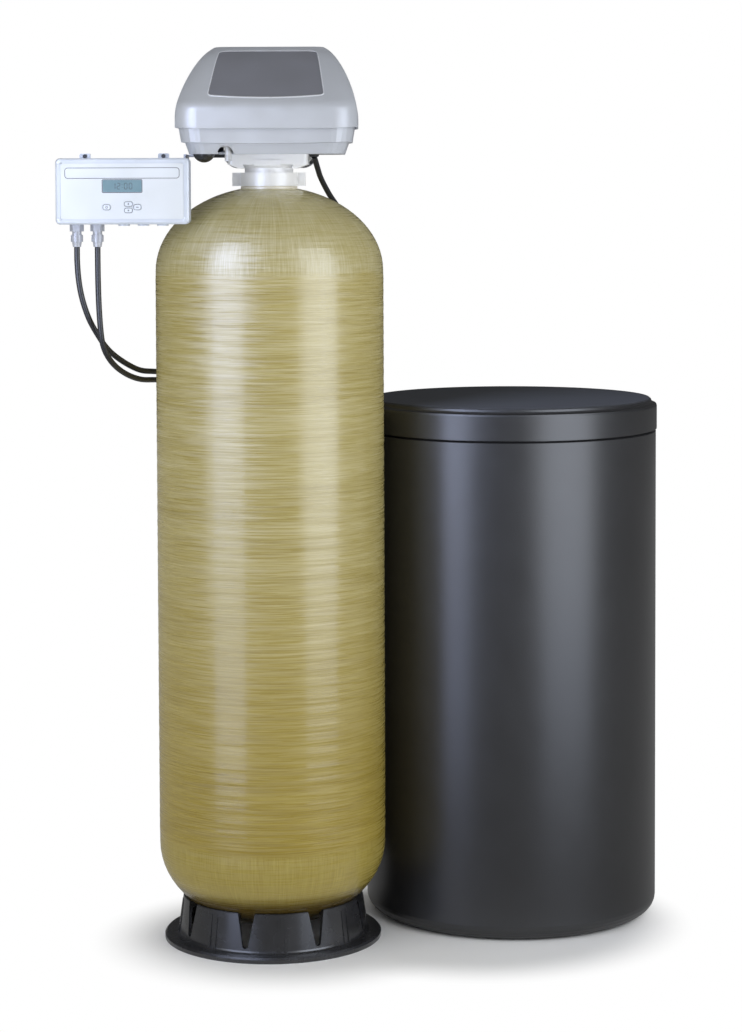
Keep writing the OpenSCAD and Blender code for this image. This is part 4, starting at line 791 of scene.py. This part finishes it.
LEFT_EDGES = ((-0.50, -1.20), (-1.20, -0.64))
RIGHT_EDGES = ((0.81, -1.48), (1.90, -0.64))
PALE_HUE, LEFT_HUE, RIGHT_HUE = (0.95, 0.975, 1.0), (0.6, 0.69, 1.0), (0.74, 0.82, 1.0)
BOX_LOW, BOX_TOP = 0.35, 2.4
LEFT_POWER, RIGHT_POWER = 9.2, 16.2
soft_box("left_box", *LEFT_EDGES, BOX_LOW, BOX_TOP, LEFT_POWER, PALE_HUE)
soft_box("right_box", *RIGHT_EDGES, BOX_LOW, BOX_TOP, RIGHT_POWER, PALE_HUE)
LEFT_GLEAM = ((-0.50, -1.20), (-1.03, -0.776))
RIGHT_GLEAM = ((0.95, -1.372), (1.80, -0.717))
GLEAMS = (
    (LEFT_GLEAM, LEFT_HUE, ((0.0, 16), (0.45, 33), (0.95, 76))),
    (RIGHT_GLEAM, RIGHT_HUE, ((0.0, 20), (0.6, 40))),
)
for edges, hue, tiers in GLEAMS:
    for low, power in tiers:
        gleam = soft_box("gleam", *edges, low, BOX_TOP, power, hue)
        gleam.visible_diffuse = False

world = bpy.data.worlds.new("studio")
bpy.context.scene.world = world
world.use_nodes = True
tree = world.node_tree
shade = tree.nodes["Background"]
shade.inputs["Color"].default_value = (1, 1, 1, 1)
rays = tree.nodes.new("ShaderNodeLightPath")
towards = tree.nodes.new("ShaderNodeTexCoord")
split = tree.nodes.new("ShaderNodeSeparateXYZ")
tree.links.new(towards.outputs["Generated"], split.inputs["Vector"])
FRONT_FILL, REAR_FILL, FRONT_MIRROR, REAR_MIRROR = 0.44, 0.46, 0.16, 0.06
fill = rescale(tree, split.outputs["Y"], -0.3, 0.5, FRONT_FILL, REAR_FILL, smooth=True)
mirrored = rescale(tree, split.outputs["Y"], -0.3, 0.3, FRONT_MIRROR, REAR_MIRROR, smooth=True)
clear = maths(tree, "MAXIMUM", rays.outputs["Is Glossy Ray"], rays.outputs["Is Transmission Ray"])
strength = maths(tree, "MAXIMUM", mix(tree, clear, fill, mirrored), rays.outputs["Is Camera Ray"])
tree.links.new(strength, shade.inputs["Strength"])
print("world and lights are set")

# %% [markdown]
# The floor is a pale disc that isn't part of the object. Near the feet it is a matt white that
# holds the soft shadow, and farther out it fades to the white of the background, so no edge shows.
# The glow is weaker in its own light on the tanks and in their gloss than it is for the camera.

# %% Floor
FLOOR_R = 9.0
FLOOR_WHITE, FLOOR_LIGHT, FLOOR_GLOSS = (0.9, 0.9, 0.9, 1), 0.68, 0.45
TANK_FOOT, TANK_NEAR, TANK_FAR = (0.02, -0.02, 0.0), 0.16, 0.32
BRINE_FOOT, BRINE_NEAR, BRINE_FAR = (0.33, 0.07, 0.0), 0.23, 0.36
bm = bmesh.new()
bmesh.ops.create_circle(bm, cap_ends=True, radius=FLOOR_R, segments=96)
floor_mesh = bpy.data.meshes.new("floor")
bm.to_mesh(floor_mesh)
bm.free()
floor = bpy.data.objects.new("floor", floor_mesh)
bpy.context.scene.collection.objects.link(floor)
material, tree, shader, where = new_finish("floor_white")
shader.inputs["Base Color"].default_value = FLOOR_WHITE
shader.inputs["Roughness"].default_value = 0.9
shader.inputs["Specular IOR Level"].default_value = 0.1
glow = tree.nodes.new("ShaderNodeEmission")
rays = tree.nodes.new("ShaderNodeLightPath")
seen = rescale(tree, rays.outputs["Is Camera Ray"], 0, 1, FLOOR_LIGHT, 1.0)
dimmed = rescale(tree, rays.outputs["Is Glossy Ray"], 0, 1, 1.0, FLOOR_GLOSS)


def clear_of(tree, where, foot, near, far):
    """0 under a tank's foot, 1 from far away on."""
    away = tree.nodes.new("ShaderNodeVectorMath")
    away.operation = "DISTANCE"
    away.inputs[1].default_value = foot
    tree.links.new(where, away.inputs[0])
    return rescale(tree, away.outputs["Value"], near, far, smooth=True)


tree.links.new(maths(tree, "MULTIPLY", seen, dimmed), glow.inputs["Strength"])
by_tank = clear_of(tree, where, TANK_FOOT, TANK_NEAR, TANK_FAR)
by_brine = clear_of(tree, where, BRINE_FOOT, BRINE_NEAR, BRINE_FAR)
fade = maths(tree, "MULTIPLY", by_tank, by_brine)
blend = tree.nodes.new("ShaderNodeMixShader")
tree.links.new(fade, blend.inputs["Fac"])
tree.links.new(shader.outputs["BSDF"], blend.inputs[1])
tree.links.new(glow.outputs["Emission"], blend.inputs[2])
tree.links.new(blend.outputs["Shader"], tree.nodes["Material Output"].inputs["Surface"])
floor_mesh.materials.append(material)
print("floor radius", FLOOR_R)
